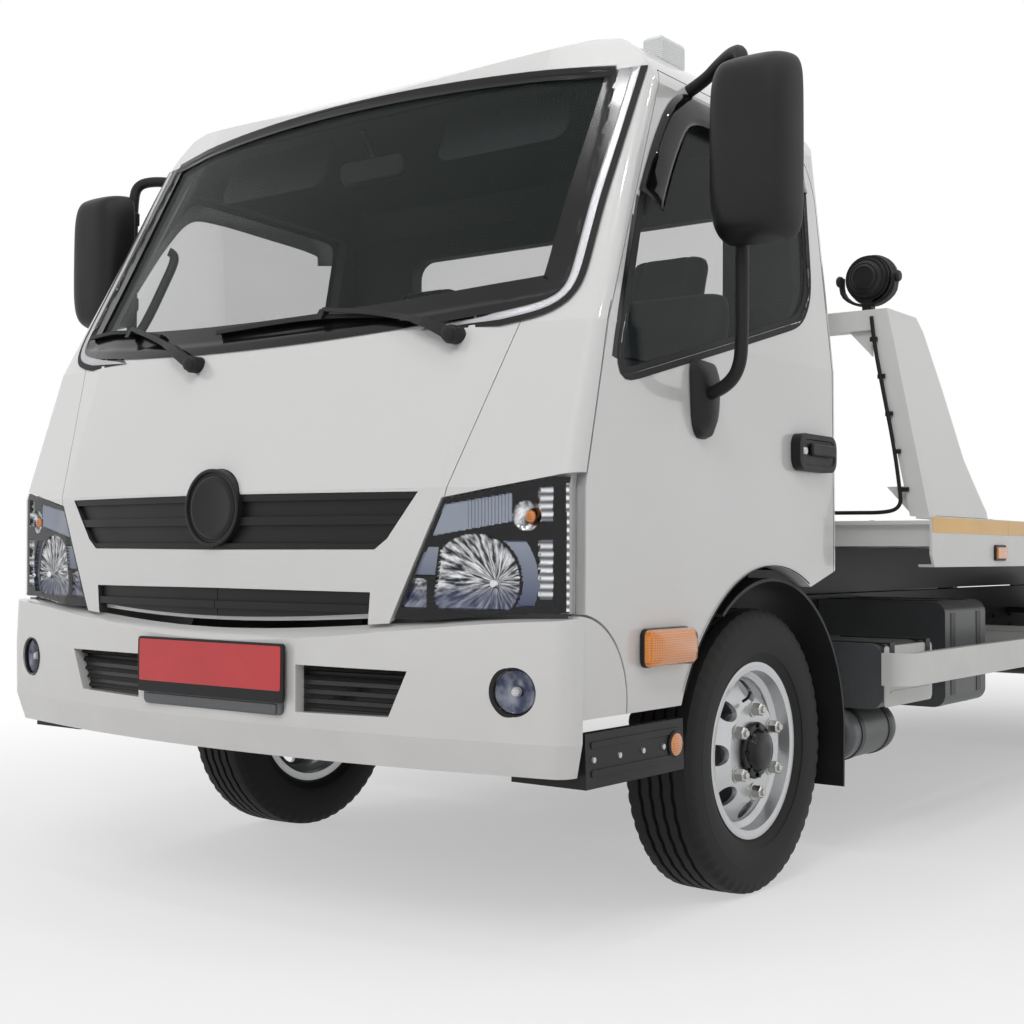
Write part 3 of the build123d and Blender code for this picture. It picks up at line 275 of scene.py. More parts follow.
print("paints", [f.material.name for f in (cab_paint, deck_paint, frame_black, cast_metal, tank_paint)])

# %% [markdown]
# ## Plastics, rubber and cloth
# Moulded black plastic has a fine leather-like grain, rubber is rougher and browner where it is dusty,
# and the seat cloth is a plain weave. The weave is two sets of thin waves at right angles, and it is
# fine enough to read as cloth through the side windows.


# %% Plastics, rubber and cloth
def moulded(name, base, roughness, grain, depth):
    made = Finish(name)
    wear = made.spread(made.noise(6.0, 5.0), 0.4, 0.75)
    made.look(Base_Color=made.blend(wear * 0.5, tone(*base), tone(*[1.6 * part + 0.004 for part in base])))
    made.look(Roughness=roughness + wear * 0.12, Specular_IOR_Level=0.3)
    made.bumps(made.noise(grain, 2.0), depth, 0.5)
    return made


def woven(name, base, light):
    made = Finish(name)
    across = made.node("ShaderNodeTexWave", {"bands_direction": "X"}, {"Vector": made.place, "Scale": 130.0})
    along = made.node("ShaderNodeTexWave", {"bands_direction": "Z"}, {"Vector": made.place, "Scale": 130.0})
    threads = across * 0.5 + along * 0.5
    worn = made.spread(made.noise(5.0, 4.0), 0.35, 0.7)
    made.look(Base_Color=made.blend(threads * 0.35 + worn * 0.3, tone(*base), tone(*light)), Roughness=0.9)
    made.look(Sheen_Weight=0.35)
    made.bumps(threads, 0.0004, 0.3)
    return made


black_plastic = moulded("grained_black_plastic", (0.009, 0.009, 0.010), 0.42, 900.0, 0.00012)
gloss_black = moulded("smooth_black_plastic", (0.005, 0.005, 0.006), 0.12, 300.0, 0.00002)
grey_plastic = moulded("dashboard_grey", (0.045, 0.046, 0.048), 0.6, 400.0, 0.00006)
seal_rubber = moulded("seal_rubber", (0.011, 0.011, 0.011), 0.6, 500.0, 0.00008)
tyre_rubber = dusty("tyre_rubber", (0.010, 0.0098, 0.0095), (0.05, 0.046, 0.040), 0.35, 0.62, 500.0)
tyre_rubber.look(Specular_IOR_Level=0.3)
seat_cloth = woven("seat_cloth", (0.040, 0.042, 0.048), (0.10, 0.104, 0.115))
roof_felt = moulded("headlining_felt", (0.040, 0.041, 0.044), 0.85, 260.0, 0.00008)
print("plastics, rubber and cloth ready")

# %% [markdown]
# ## Glass, lenses and bright metal
# The windows are tinted and seen against a dark cabin. Their panes are closed solids, so light crosses
# two faces, and each face is only partly opaque. Lenses are clearer, and the amber and red ones carry a
# fine pattern of ribs that breaks up the light. The lamps' bowls are fluted from the bulb outward, and
# their metal carries painted reflection: bright and dark streaks along the flutes and a painted dark blue
# reflection low in the bowl. The satin pane is painted dark blue low and grey-blue high as reflection,
# and the ribbed column has painted highlight and shade on its ribs.


# %% Glass, lenses and bright metal
def pane(name, tint, alpha, ripple):
    made = Finish(name)
    shine = made.node("ShaderNodeFresnel", {}, {"IOR": 1.5})
    made.look(Base_Color=tone(*tint), Roughness=0.02, Alpha=(alpha + 0.15 * shine).clamped())
    made.bumps(made.noise(2.2, 1.0), ripple, 0.3)
    return made


def ribbed_lens(name, base, deep):
    made = Finish(name)
    ribs = made.node("ShaderNodeTexWave", {"bands_direction": "Z"}, {"Vector": made.place, "Scale": 55.0})
    rows = made.node("ShaderNodeTexWave", {"bands_direction": "Y"}, {"Vector": made.place, "Scale": 55.0})
    cells = ribs * 0.5 + rows * 0.5
    made.look(Base_Color=made.blend(cells, tone(*deep), tone(*base)), Roughness=0.16, Coat_Weight=1.0)
    made.bumps(cells, 0.0012, 0.5)
    return made


def bright(name, base, roughness, scratch):
    made = Finish(name)
    haze = made.spread(made.noise(18.0, 5.0), 0.4, 0.75)
    made.look(Base_Color=tone(*base), Metallic=1.0, Roughness=roughness + haze * scratch)
    return made


window_glass = pane("tinted_window", (0.010, 0.022, 0.017), 0.12, 0.0001)
lens_clear = pane("clear_lens", (0.10, 0.11, 0.12), 0.03, 0.00005)
visor_smoke = pane("smoked_visor", (0.004, 0.004, 0.005), 0.72, 0.00005)
amber_lens = ribbed_lens("amber_lens", (0.95, 0.33, 0.02), (0.55, 0.13, 0.005))
red_lens = ribbed_lens("red_lens", (0.6, 0.015, 0.012), (0.28, 0.004, 0.004))
white_lens = ribbed_lens("white_lens", (0.85, 0.86, 0.86), (0.55, 0.56, 0.57))
chrome = bright("bright_chrome", (0.82, 0.83, 0.85), 0.05, 0.08)
reflector = bright("lamp_reflector", (0.86, 0.87, 0.9), 0.10, 0.06)
# The reflector's colour is painted reflection: light and dark streaks along the flutes, and a dark blue reflection
# painted low in the bowl.
beam_x, beam_z = 0.800, 0.848
across = reflector.axis("X").math("ABSOLUTE", reflector.axis("X")) - beam_x
rise = reflector.axis("Z") - beam_z
turn = rise.math("ARCTAN2", rise, across) * 6.0
reach = rise.math("SQRT", rise * rise + across * across) * 16.0
flat = reflector.node("ShaderNodeCombineXYZ", {}, {"X": turn, "Y": reach})
painted_reflection_streaks = reflector.node("ShaderNodeTexNoise", {}, {"Vector": flat, "Scale": 1.6, "Detail": 3.0})
painted_reflection_mask = reflector.spread(painted_reflection_streaks, 0.40, 0.66)
lower = reflector.spread(rise, 0.004, -0.030) * 0.75
painted_reflection_colour = reflector.blend(painted_reflection_mask, tone(0.035, 0.036, 0.042), tone(0.86, 0.87, 0.89))
reflector.look(Base_Color=reflector.blend(lower, painted_reflection_colour, tone(0.07, 0.08, 0.14)))
lamp_pane = bright("lamp_satin_pane", (0.3, 0.3, 0.3), 0.28, 0.15)
# Painted reflection: the satin pane and crescent are dark blue low down and lighter grey-blue higher up.
painted_reflection_height = lamp_pane.spread(lamp_pane.axis("Z"), 0.80, 0.95)
lamp_pane.look(Base_Color=lamp_pane.blend(painted_reflection_height, tone(0.10, 0.115, 0.18), tone(0.30, 0.33, 0.39)))
lamp_column = bright("lamp_ribbed_column", (0.8, 0.8, 0.8), 0.12, 0.1)
# Painted highlight and shade: bright and dark stripes at the pitch of the column's moulded ribs.
ridges = lamp_column.axis("Z").math("SINE", 360 * lamp_column.axis("Z"))
painted_rib_shading = lamp_column.spread(ridges, -0.8, 0.9)
lamp_column.look(Base_Color=lamp_column.blend(painted_rib_shading, tone(0.16, 0.17, 0.19), tone(0.88, 0.88, 0.9)))
mirror_face = bright("mirror_glass", (0.78, 0.8, 0.82), 0.02, 0.01)
zinc = bright("zinc_bolts", (0.52, 0.52, 0.5), 0.32, 0.25)
print("glass, lenses and bright metal ready")

# %% [markdown]
# ## Finishes on the CAD nodes
# Each node of the frame keeps its shape and takes the finish of the real piece. A table from the
# record's material slots to the finishes covers nearly all of them.

# %% Dress the CAD nodes
SLOT_FINISH = {
    "cab_white": cab_paint, "deck_white": deck_paint, "chassis_black": frame_black,
    "black_plastic": black_plastic, "dark_grey_plastic": grey_plastic, "window_glass": window_glass,
    "lamp_clear": lens_clear, "lamp_amber": amber_lens, "lamp_red": red_lens, "tyre_rubber": tyre_rubber,
    "wheel_silver": wheel_silver, "cast_dark": cast_metal, "rod_chrome": chrome, "tank_grey": tank_paint,
    "seat_fabric": seat_cloth,
}
OWN_FINISH = {"roof_lamp": white_lens, "work_lamps": black_plastic, "bumper": bumper_paint}
for part in frame["record"]["subparts"]:
    finish = OWN_FINISH.get(part["node"], SLOT_FINISH[part["material_slot"]])
    mesh = nodes[part["node"]].data
    mesh.materials.clear()
    mesh.materials.append(finish.material)

# %% [markdown]
# ## Studio
# A pale floor and large soft lamps. The world is white to the camera and in reflections, and a softer
# grey as light, so that white paint keeps its shading. A few small lamps overhead give the short bright
# points that a showroom ceiling leaves on lacquer.


# %% Studio
def area_lamp(name, place, target, size, power, mirrored_in=False):
    lamp = bpy.data.objects.new(name, bpy.data.lights.new(name, "AREA"))
    lamp.data.shape = "DISK"
    lamp.data.size = size
    lamp.data.energy = power
    lamp.location = place
    lamp.rotation_euler = (Vector(target) - Vector(place)).to_track_quat("-Z", "Y").to_euler()
    lamp.visible_glossy = mirrored_in
    scene.collection.objects.link(lamp)


area_lamp("key_lamp", (3.0, -9.0, 6.5), (0, -2.5, 1.0), 3.5, 170)
area_lamp("side_lamp", (7.0, 0.5, 4.5), (0, 0, 1.0), 3.0, 55)
area_lamp("front_lamp", (-4.5, -9.0, 4.0), (0, -2.5, 1.2), 3.5, 82)
area_lamp("rear_lamp", (-5.0, 7.0, 5.0), (0, 1.5, 1.0), 4.0, 150)
for row in range(3):
    for seat in range(3):
        spot = (3.6 - 1.7 * row, -6.2 + 1.9 * seat, 5.2)
        area_lamp(f"ceiling_point_{row}_{seat}", spot, (spot[0] * 0.6, spot[1] * 0.8, 0), 0.16, 7, True)

FLOOR_REACH, FADE_START, FADE_END, FADE_LEAST, AMBIENT = 60.0, 0.6, 4.6, 0.42, 0.32
floor_mesh = bpy.data.meshes.new("studio_floor")
corners = [(-1, -1, 0), (1, -1, 0), (1, 1, 0), (-1, 1, 0)]
floor_mesh.from_pydata([Vector(c) * FLOOR_REACH for c in corners], [], [(0, 1, 2, 3)])
floor = bpy.data.objects.new("studio_floor", floor_mesh)
scene.collection.objects.link(floor)
floor_finish = Finish("studio_floor")
mottle = floor_finish.spread(floor_finish.noise(0.8, 4.0), 0.3, 0.7)
floor_finish.look(Base_Color=floor_finish.blend(mottle, tone(0.86, 0.86, 0.86), tone(0.88, 0.88, 0.88)),
                  Roughness=0.9)
# Far from the truck the floor fades into the white backdrop; near it, it keeps the shadow.
stretched = floor_finish.node("ShaderNodeVectorMath", {"operation": "MULTIPLY"},
                              {0: floor_finish.place, 1: (1, 0.55, 1)})
distance = floor_finish.node("ShaderNodeVectorMath", {"operation": "LENGTH"}, {0: stretched}, "Value")
spread = {"Value": distance, "From Min": FADE_START, "From Max": FADE_END, "To Min": FADE_LEAST}
away = floor_finish.node("ShaderNodeMapRange", {"interpolation_type": "SMOOTHSTEP"}, spread)
fade = away * floor_finish.looked_at()
white = floor_finish.node("ShaderNodeEmission", {}, {"Color": tone(1, 1, 1), "Strength": 1.0})
lit = Value(floor_finish, floor_finish.shader.outputs[0])
blended = floor_finish.node("ShaderNodeMixShader", {}, {0: fade, 1: lit, 2: white})
floor_finish.feed(floor_finish.tree.nodes["Material Output"].inputs["Surface"], blended)
floor_mesh.materials.append(floor_finish.material)

world = bpy.data.worlds.new("studio_world")
world.use_nodes = True
scene.world = world
sky = Nodes(world.node_tree)
backdrop = world.node_tree.nodes["Background"].inputs
backdrop["Color"].default_value = tone(1, 1, 1)
sky.feed(backdrop["Strength"], AMBIENT + (1 - AMBIENT) * sky.looked_at())
scene.view_settings.view_transform = "Standard"
print("studio ready")

# %% [markdown]
# ## Mesh helpers
# Every added piece is a list of points and faces. A few shape makers cover most of the truck: a block,
# a ring turned about an axle, a flat outline pulled into a plate, and rings joined into a loft.


# %% Mesh helpers
def block(low, high):
    """A box between two corners."""
    x, y, z = zip(low, high)
    points = [Vector((x[i & 1], y[i >> 1 & 1], z[i >> 2])) for i in range(8)]
    return points, [(0, 2, 3, 1), (4, 5, 7, 6), (0, 1, 5, 4), (2, 6, 7, 3), (0, 4, 6, 2), (1, 3, 7, 5)]


def lathe(profile, centre, axis, steps, closed=True):
    """A ring of (along, radius) points turned about an axis through the centre."""
    axis = Vector(axis).normalized()
    first = axis.orthogonal().normalized()
    second = axis.cross(first)
    points = []
    for step in range(steps):
        turn = 2 * pi * step / steps
        out = cos(turn) * first + sin(turn) * second
        points += [Vector(centre) + along * axis + radius * out for along, radius in profile]
    count = len(profile)
    faces = []
    for step in range(steps):
        a, b = step * count, (step + 1) % steps * count
        for i in range(count if closed else count - 1):
            j = (i + 1) % count
            faces.append((a + i, a + j, b + j, b + i))
    return points, faces


def plate(outline, depth):
    """A flat outline of points pulled along the depth vector into a closed slab."""
    count = len(outline)
    points = [Vector(p) for p in outline] + [Vector(p) + Vector(depth) for p in outline]
    faces = [tuple(range(count)), tuple(range(2 * count - 1, count - 1, -1))]
    faces += [(i, (i + 1) % count, count + (i + 1) % count, count + i) for i in range(count)]
    return points, faces


def loft(rings):
    """Faces between rings of equal count, closed at both ends."""
    count = len(rings[0])
    points = [p for ring in rings for p in ring]
    faces = [tuple(range(count)), tuple(range(len(points) - count, len(points)))]
    for r in range(len(rings) - 1):
        for i in range(count):
            j = (i + 1) % count
            faces.append((r * count + i, r * count + j, (r + 1) * count + j, (r + 1) * count + i))
    return points, faces


def rounded(u, v, width, height, radius, steps=5):
    """A rounded rectangle about (u, v), as flat points."""
    points = []
    for corner, (su, sv) in enumerate(((1, 1), (-1, 1), (-1, -1), (1, -1))):
        cu, cv = u + su * (width / 2 - radius), v + sv * (height / 2 - radius)
        for step in range(steps + 1):
            turn = pi / 2 * (corner + step / steps)
            points.append((cu + radius * cos(turn), cv + radius * sin(turn)))
    return points


def together(*shapes):
    """Several shapes as one list of points and faces."""
    points, faces = [], []
    for more, loops in shapes:
        faces += [tuple(i + len(points) for i in loop) for loop in loops]
        points += more
    return points, faces


def mirrored(shape, side):
    points, faces = shape
    return [Vector((side * p.x, p.y, p.z)) for p in points], faces


print("shape makers ready")

# %% [markdown]
# One function makes an object from points and faces, drops loose points, rounds its edges and lets it
# ride on a body of the frame. A second one does the same for a round rod along a path.

# %% Piece makers
def add_piece(name, shape, finish, body, bevel=0.0, smooth=1, thick=0.0, sharp=35):
    """A piece of the truck from points and faces, riding on a body."""
    mesh = bpy.data.meshes.new(name)
    mesh.from_pydata([tuple(p) for p in shape[0]], [], shape[1])
    work = bmesh.new()
    work.from_mesh(mesh)
    bmesh.ops.delete(work, geom=[v for v in work.verts if not v.link_faces], context="VERTS")
    bmesh.ops.remove_doubles(work, verts=work.verts, dist=1e-6)
    bmesh.ops.recalc_face_normals(work, faces=work.faces)
    work.to_mesh(mesh)
    work.free()
    mesh.polygons.foreach_set("use_smooth", [True] * len(mesh.polygons))
    mesh.set_sharp_from_angle(angle=radians(sharp))
    mesh.materials.append(finish.material)
    made = bpy.data.objects.new(name, mesh)
    scene.collection.objects.link(made)
    if thick:
        made.modifiers.new("sheet", "SOLIDIFY").thickness = thick
    if bevel:
        edge = made.modifiers.new("soft_edge", "BEVEL")
        edge.width = bevel
        edge.segments = 2
        edge.limit_method = "ANGLE"
        edge.angle_limit = radians(40)
    if smooth > 1:
        made.modifiers.new("rounding", "SUBSURF").levels = smooth
        made.modifiers["rounding"].render_levels = smooth
    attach(made, body)
    return made


def rod(name, points, radius, finish, body, rounds=0.0):
    """A bent bar along points, as a curve with a round section."""
    curve = bpy.data.curves.new(name, "CURVE")
    curve.dimensions = "3D"
    curve.bevel_depth = radius
    curve.bevel_resolution = 4
    curve.use_fill_caps = True
    line = curve.splines.new("POLY" if not rounds else "NURBS")
    line.points.add(len(points) - 1)
    for spot, point in zip(line.points, points):
        spot.co = (*point, 1)
    if rounds:
        line.order_u = 3
        line.use_endpoint_u = True
        line.resolution_u = 8
    curve.materials.append(finish.material)
    made = bpy.data.objects.new(name, curve)
    scene.collection.objects.link(made)
    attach(made, body)
    return made


print("piece makers ready")

# %% [markdown]
# ## Laying trim on curved panels
# Window borders, seals and tape follow panels that curve in two directions. Each point of a flat
# outline is shot at the CAD panel as a ray and lands on it, a little proud, so the trim takes the
# panel's own curve from any side.


# %% Drape helpers
class Skin:
    """The outer surface of some CAD nodes, met from the front or from one side."""

    def __init__(self, *names):
        points, faces = [], []
        for name in names:
            mesh = nodes[name].data
            faces += [[i + len(points) for i in face.vertices] for face in mesh.polygons]
            points += [v.co.copy() for v in mesh.vertices]
        self.tree = BVHTree.FromPolygons(points, faces)

    def front(self, x, z, lift=0.0, near=0.0):
        """The point at (x, z) in millimetres on the front, as far out as its neighbours, lifted outward."""
        depths = []
        for u, v in ((0, 0), (near, 0), (-near, 0), (0, near), (0, -near)) if near else ((0, 0),):
            start = Vector(((x + u) / 1000, cad_low.y - 1, (z + v) / 1000))
            hit = self.tree.ray_cast(start, Vector((0, 1, 0)))[0]
            if hit:
                depths.append(hit.y)
        return Vector((x / 1000, min(depths) - lift / 1000, z / 1000)) if depths else None

    def side(self, y, z, side, lift=0.0):
        """The point at (y, z) in millimetres on one side, lifted outward."""
        start = Vector((side * 3, y / 1000 + AXLE_Y, z / 1000))
        hit = self.tree.ray_cast(start, Vector((-side, 0, 0)))[0]
        return hit + Vector((side * lift / 1000, 0, 0)) if hit else None


print("skin class ready")

# %% [markdown]
# Trim follows lines drawn on those skins. These functions add points along a line, ease its corners, move
# it sideways and lay a band of faces along it.

# %% Trim lines
def dense(outline, step=30.0, closed=True):
    """The outline with points added so that none lie further apart than a step."""
    made = []
    last = len(outline) if closed else len(outline) - 1
    for i in range(last):
        a, b = Vector(outline[i]), Vector(outline[(i + 1) % len(outline)])
        parts = max(1, int((b - a).length / step + 0.5))
        made += [a.lerp(b, k / parts) for k in range(parts)]
    if not closed:
        made.append(Vector(outline[-1]))
    return made


def moved_out(outline, amount, closed=True):
    """Each flat point moved sideways by an amount, to the right of the way along the outline."""
    count = len(outline)
    made = []
    for i, point in enumerate(outline):
        before = outline[(i - 1) % count] if closed or i else point
        after = outline[(i + 1) % count] if closed or i < count - 1 else point
        way = (after - before).normalized()
        made.append(point + Vector((way.y, -way.x)) * amount)
    return made


def band(outline, offsets, place, closed=True, pointed=False):
    """A strip along a flat outline, with an edge at each offset, laid on a panel by the place function."""
    rows = [moved_out(outline, amount, closed) for amount in offsets]
    if pointed:
        rows = [row[:-1] + [outline[-1]] for row in rows]
    points = [place(*p) for row in rows for p in row]
    count = len(outline)
    faces = []
    for row in range(len(offsets) - 1):
        for i in range(count if closed else count - 1):
            a, b = row * count + i, row * count + (i + 1) % count
            faces.append((a, b, b + count, a + count))
    kept = [f for f in faces if all(points[i] is not None for i in f)]
    return [p if p is not None else Vector() for p in points], kept


def eased(outline, passes, closed=True):
    """The outline with its corners rounded by averaging neighbours."""
    outline = [Vector(p) for p in outline]
    for _ in range(passes):
        count = len(outline)
        soft = [(outline[i - 1] + 2 * outline[i] + outline[(i + 1) % count]) / 4 for i in range(count)]
        outline = soft if closed else [outline[0], *soft[1:-1], outline[-1]]
    return outline


def arc_points(start, middle, end, count):
    """Points on a shallow arc through three flat points."""
    made = []
    for k in range(count + 1):
        t = k / count
        a = Vector(start) * (1 - t) * (1 - 2 * t)
        made.append(a + Vector(middle) * 4 * t * (1 - t) + Vector(end) * t * (2 * t - 1))
    return made


print("drape helpers ready")

# %% [markdown]
# ## Windscreen border, trim and wipers
# A bonded windscreen has a black printed border that hides the glue. Up each pillar runs a satin metal
# strip with black rubber outside it, and both turn inward at the foot of the glass. All are strips laid
# on the glass and the pillar, each with a row of points wherever the surface bends.

# %% Windscreen
screen_skin = Skin("cab_glass", "cab_body", "front_panel", "corner_panels")


def on_screen(lift):
    return lambda x, z: screen_skin.front(x, z, lift, 7)


screen_foot = arc_points((-872, 1507), (0, 1449), (872, 1507), 28)
screen_head = arc_points((812, 2112), (0, 2138), (-812, 2112), 28)
foot_band = band(screen_foot, (21, 16, 11, 6, 1, -4, -10, -18, -30, -44, -58), on_screen(0.9), False)
add_piece("windscreen_foot_band", foot_band, gloss_black, "cab")
head_band = band(screen_head, (16, 11, 6, 1, -4, -9, -16), on_screen(0.9), False)
add_piece("windscreen_head_band", head_band, gloss_black, "cab")
PILLAR_LINE = [(866, 2116), (871, 1930), (874, 1744), (886, 1565), (886, 1518), (868, 1490), (828, 1477), (740, 1460)]
PILLAR_END = (540, 1437)
pillar_line = eased(dense(PILLAR_LINE, 18, False), 6, False) + [Vector(PILLAR_END)]
satin_trim = bright("satin_metal_trim", (0.50, 0.50, 0.52), 0.30, 0.12)
for side, hand in SIDES:
    line = [Vector((side * x, z)) for x, z in pillar_line]
    black = band(line, [side * k for k in range(8, 80, 5)], on_screen(1.4), False, True)
    add_piece(f"windscreen_side_band_{hand}", black, gloss_black, "cab")
    strip = band(line, [side * k for k in (10, 5, 0, -5, -10)], on_screen(3.0), False, True)
    add_piece(f"pillar_strip_{hand}", strip, satin_trim, "cab", thick=0.002)
    rubber = band(line, [side * k for k in (-9, -14, -20, -26)], on_screen(2.0), False, True)
    add_piece(f"pillar_rubber_{hand}", rubber, seal_rubber, "cab")
print("windscreen trim rows", len(pillar_line))

# %% [markdown]
# Each wiper is a pivot with a broad arm head, a slim arm that climbs from it and a long blade that hangs
# from the arm's end along the foot of the glass. The CAD arm is a straight bar, so these pieces replace
# it. A bar is a row of four-sided rings along a path on the glass, each lifted off its surface.


# %% Wipers
def bar_on_screen(path, halves, low, high):
    """A bar along flat points, with its half width at each end, between two heights off the glass."""
    path = eased(dense(path, 24, False), 3, False)
    rings = []
    for i, point in enumerate(path):
        way = (path[min(i + 1, len(path) - 1)] - path[max(i - 1, 0)]).normalized()
        half = halves[0] + (halves[1] - halves[0]) * i / (len(path) - 1)
        across = half * Vector((way.y, -way.x))
        rings.append([screen_skin.front(*(point + turn * across), lift)
                      for turn, lift in ((1, low), (1, high), (-1, high), (-1, low))])
    return loft(rings)


WIPERS = {
    "left": ([(640, 1418), (585, 1446), (537, 1462), (406, 1490), (232, 1514)],
             [(-147, 1488), (138, 1496), (270, 1494), (458, 1480)]),
    "middle": ([(-190, 1402), (-240, 1428), (-300, 1456), (-410, 1496), (-560, 1540)],
               [(-842, 1546), (-686, 1544), (-548, 1530), (-400, 1502)]),
}
for name, (arm, blade) in WIPERS.items():
    head = bar_on_screen([arm[0], arm[1], arm[2]], (13, 10), 20, 40)
    slim = bar_on_screen(arm[1:], (8, 5), 26, 35)
    hang = bar_on_screen([arm[-1], Vector(arm[-1]) + Vector((-4, -26))], (9, 11), 14, 33)
    piece = add_piece(f"wiper_arm_{name}", together(head, slim, hang), black_plastic, "cab", 0.0015)
    if name == "left":
        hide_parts("wipers")
    spine = bar_on_screen(blade, (6, 5), 13, 22)
    lip = bar_on_screen(blade, (2.5, 2.5), 1.5, 14)
    add_piece(f"wiper_blade_{name}", together(spine, lip), seal_rubber, "cab")
    pivot = screen_skin.front(*arm[0], 26)
    cap = lathe([(-0.030, 0.022), (0.004, 0.022), (0.006, 0.019), (0.016, 0.017), (0.020, 0.010), (0.020, 0.0)],
                pivot, (0, -1, 0), 24, False)
    add_piece(f"wiper_pivot_{name}", cap, black_plastic, "cab")
print("wipers ready")

# %% [markdown]
# ## Headlamps
# Behind the clear lens of a lamp of this kind are several surfaces in one moulding: a large bowl for the
# main beam cut off by a shelf, a grey crescent and a ribbed bright column beside it, a satin pane above,
# a round indicator bowl and a small lamp in the low corner. They are one height field under the lens.
# A rule names the surface and its depth at each point, and faces are sorted into pieces by that name.

# %% Headlamps
lamp_skin = Skin("headlamps")
BOWL, BOWL_R, CRESCENT_R = (757, 852), 105, 148
INDICATOR, INDICATOR_R = (879, 996), 33
LAMP_FOOT, LAMP_HEAD, LAMP_END = 762, 1080, 972


def lamp_edge(z):
    """The inner edge of the lens at one height."""
    return 556 + 132 * max(0.0, min(1.0, (z - LAMP_FOOT) / 276))


def lamp_surface(x, z):
    """The surface at a point of the moulding, and how far it lies behind the lens in millimetres."""
    head, shelf, left = 1036 + 0.153 * (x - 679), 940 + 0.169 * (x - 629), 657 + 0.16 * (z - 794)
    reach = hypot(x - BOWL[0], z - BOWL[1])
    turn = hypot(x - INDICATOR[0], z - INDICATOR[1])
    if x - lamp_edge(z) < 8 or z < 788 or z > head - 15:
        return "bezel", 4.0
    if turn < INDICATOR_R:
        return "bowl", 20 - 13 * (turn / INDICATOR_R) ** 2
    if z > shelf + 7 and x < 846:
        return "pane", 7 + (1.2 * sin(0.8 * x) if x > 740 else 0.0)
    if reach < BOWL_R and x > left and z < shelf - 4:
        flutes = 0.9 * cos(16 * atan2(z - BOWL[1], x - BOWL[0])) * reach / BOWL_R
        return "bowl", 21 - 13 * (reach / BOWL_R) ** 2 + flutes
    if BOWL_R + 7 < reach < CRESCENT_R and x > 800 and 797 < z < 940:
        return "pane", 6 + 8 * (reach - BOWL_R) / (CRESCENT_R - BOWL_R)
    if 906 < x < 938 and (812 < z < 944 or z > 984):
        return "column", 9 + 2.0 * sin(0.36 * z)
    if x > LAMP_END - 5:
        return "column", 4.5
    if z < 856 and x < 640:
        return "bowl", 14 - 0.003 * ((x - 606) ** 2 + (z - 822) ** 2) + 1.2 * sin(0.5 * x) * sin(0.45 * z)
    if 863 < z < 928 and x < left - 6:
        return "pane", 8.0
    return "bezel", 5.0


def lamp_faces(side):
    """Points of the moulding under one lens, and its faces sorted by surface."""
    columns, rows = 150, 112
    index, points = {}, []
    sorted_faces = {"bowl": [], "pane": [], "column": [], "bezel": []}

    def spot(c, r):
        z = LAMP_FOOT + (LAMP_HEAD - LAMP_FOOT) * r / rows
        inner = lamp_edge(z)
        return inner + (LAMP_END - inner) * c / columns, z

    for r in range(rows + 1):
        for c in range(columns + 1):
            x, z = spot(c, r)
            hit = lamp_skin.front(side * x, z)
            if hit is not None and (hit.y - AXLE_Y) * 1000 < -950:
                index[c, r] = len(points)
                points.append(hit + Vector((0, lamp_surface(x, z)[1] / 1000, 0)))
    for r in range(rows):
        for c in range(columns):
            corners = [(c, r), (c + 1, r), (c + 1, r + 1), (c, r + 1)]
            if all(k in index for k in corners):
                sorted_faces[lamp_surface(*spot(c + 0.5, r + 0.5))[0]].append(tuple(index[k] for k in corners))
    return points, sorted_faces


print("lamp moulding ready")

# %% [markdown]
# The moulding's faces are sorted by surface, and each surface becomes a piece with its own finish. A bulb
# stands in front of each bowl.

# %% Headlamp pieces
LAMP_FINISH = {"bowl": (reflector, "rod_chrome"), "pane": (lamp_pane, "rod_chrome"),
               "column": (lamp_column, "rod_chrome"), "bezel": (gloss_black, "black_plastic")}
for side, hand in SIDES:
    points, sorted_faces = lamp_faces(side)
    for surface, (finish, slot) in LAMP_FINISH.items():
        add_piece(f"headlamp_{surface}_{hand}", (points, sorted_faces[surface]), finish, "cab", sharp=25)
    spot = lamp_skin.front(side * 800, 846, -19)
    bulb = lathe([(0.014, 0), (0.013, 0.008), (0.006, 0.012), (-0.004, 0.013), (-0.006, 0.019)], spot,
                 (0, -1, 0), 24, False)
    add_piece(f"headlamp_bulb_{hand}", bulb, chrome, "cab")
    spot = lamp_skin.front(side * 884, 994, -15)
    drop = lathe([(-0.004, 0), (-0.003, 0.009), (0.004, 0.014), (0.009, 0.008), (0.011, 0)], spot,
                 (0, -1, 0), 20, False)
    add_piece(f"indicator_bulb_{hand}", drop, amber_lens, "cab")
    print("headlamp", hand, {surface: len(faces) for surface, faces in sorted_faces.items()})

# %% [markdown]
# ## Bumper furniture
# The plate on the bumper is a blank red panel in a black frame, held on a bracket. The two openings
# beside it are closed by dark slats, and each fog lamp gets a bowl, a bulb and a ring behind its lens.

# %% Bumper furniture
PLATE_FACE = -1138
frame_line = [at(x, PLATE_FACE, z) for x, z in rounded(0, 626, 528, 140, 10)]
add_piece("plate_frame", plate(frame_line, (0, 0.009, 0)), black_plastic, "chassis", 0.0015)
panel_line = [at(x, PLATE_FACE - 1.5, z) for x, z in rounded(0, 637, 512, 106, 6)]
plate_red = Finish("blank_plate_red")
fade = plate_red.spread(plate_red.noise(7.0, 4.0), 0.3, 0.7)
plate_red.look(Base_Color=plate_red.blend(fade, tone(0.52, 0.012, 0.018), tone(0.60, 0.02, 0.026)), Roughness=0.28,
               Coat_Weight=0.4)
add_piece("plate_panel", plate(panel_line, (0, 0.002, 0)), plate_red, "chassis", 0.0006)
bracket = together(
    plate([at(x, -1129, z) for x, z in rounded(0, 600, 500, 150, 14)], (0, 0.03, 0)),
    plate([at(x, -1133, z) for x, z in rounded(0, 540, 470, 24, 6)], (0, 0.02, 0)),
)
add_piece("plate_bracket", bracket, tank_paint, "chassis", 0.002)
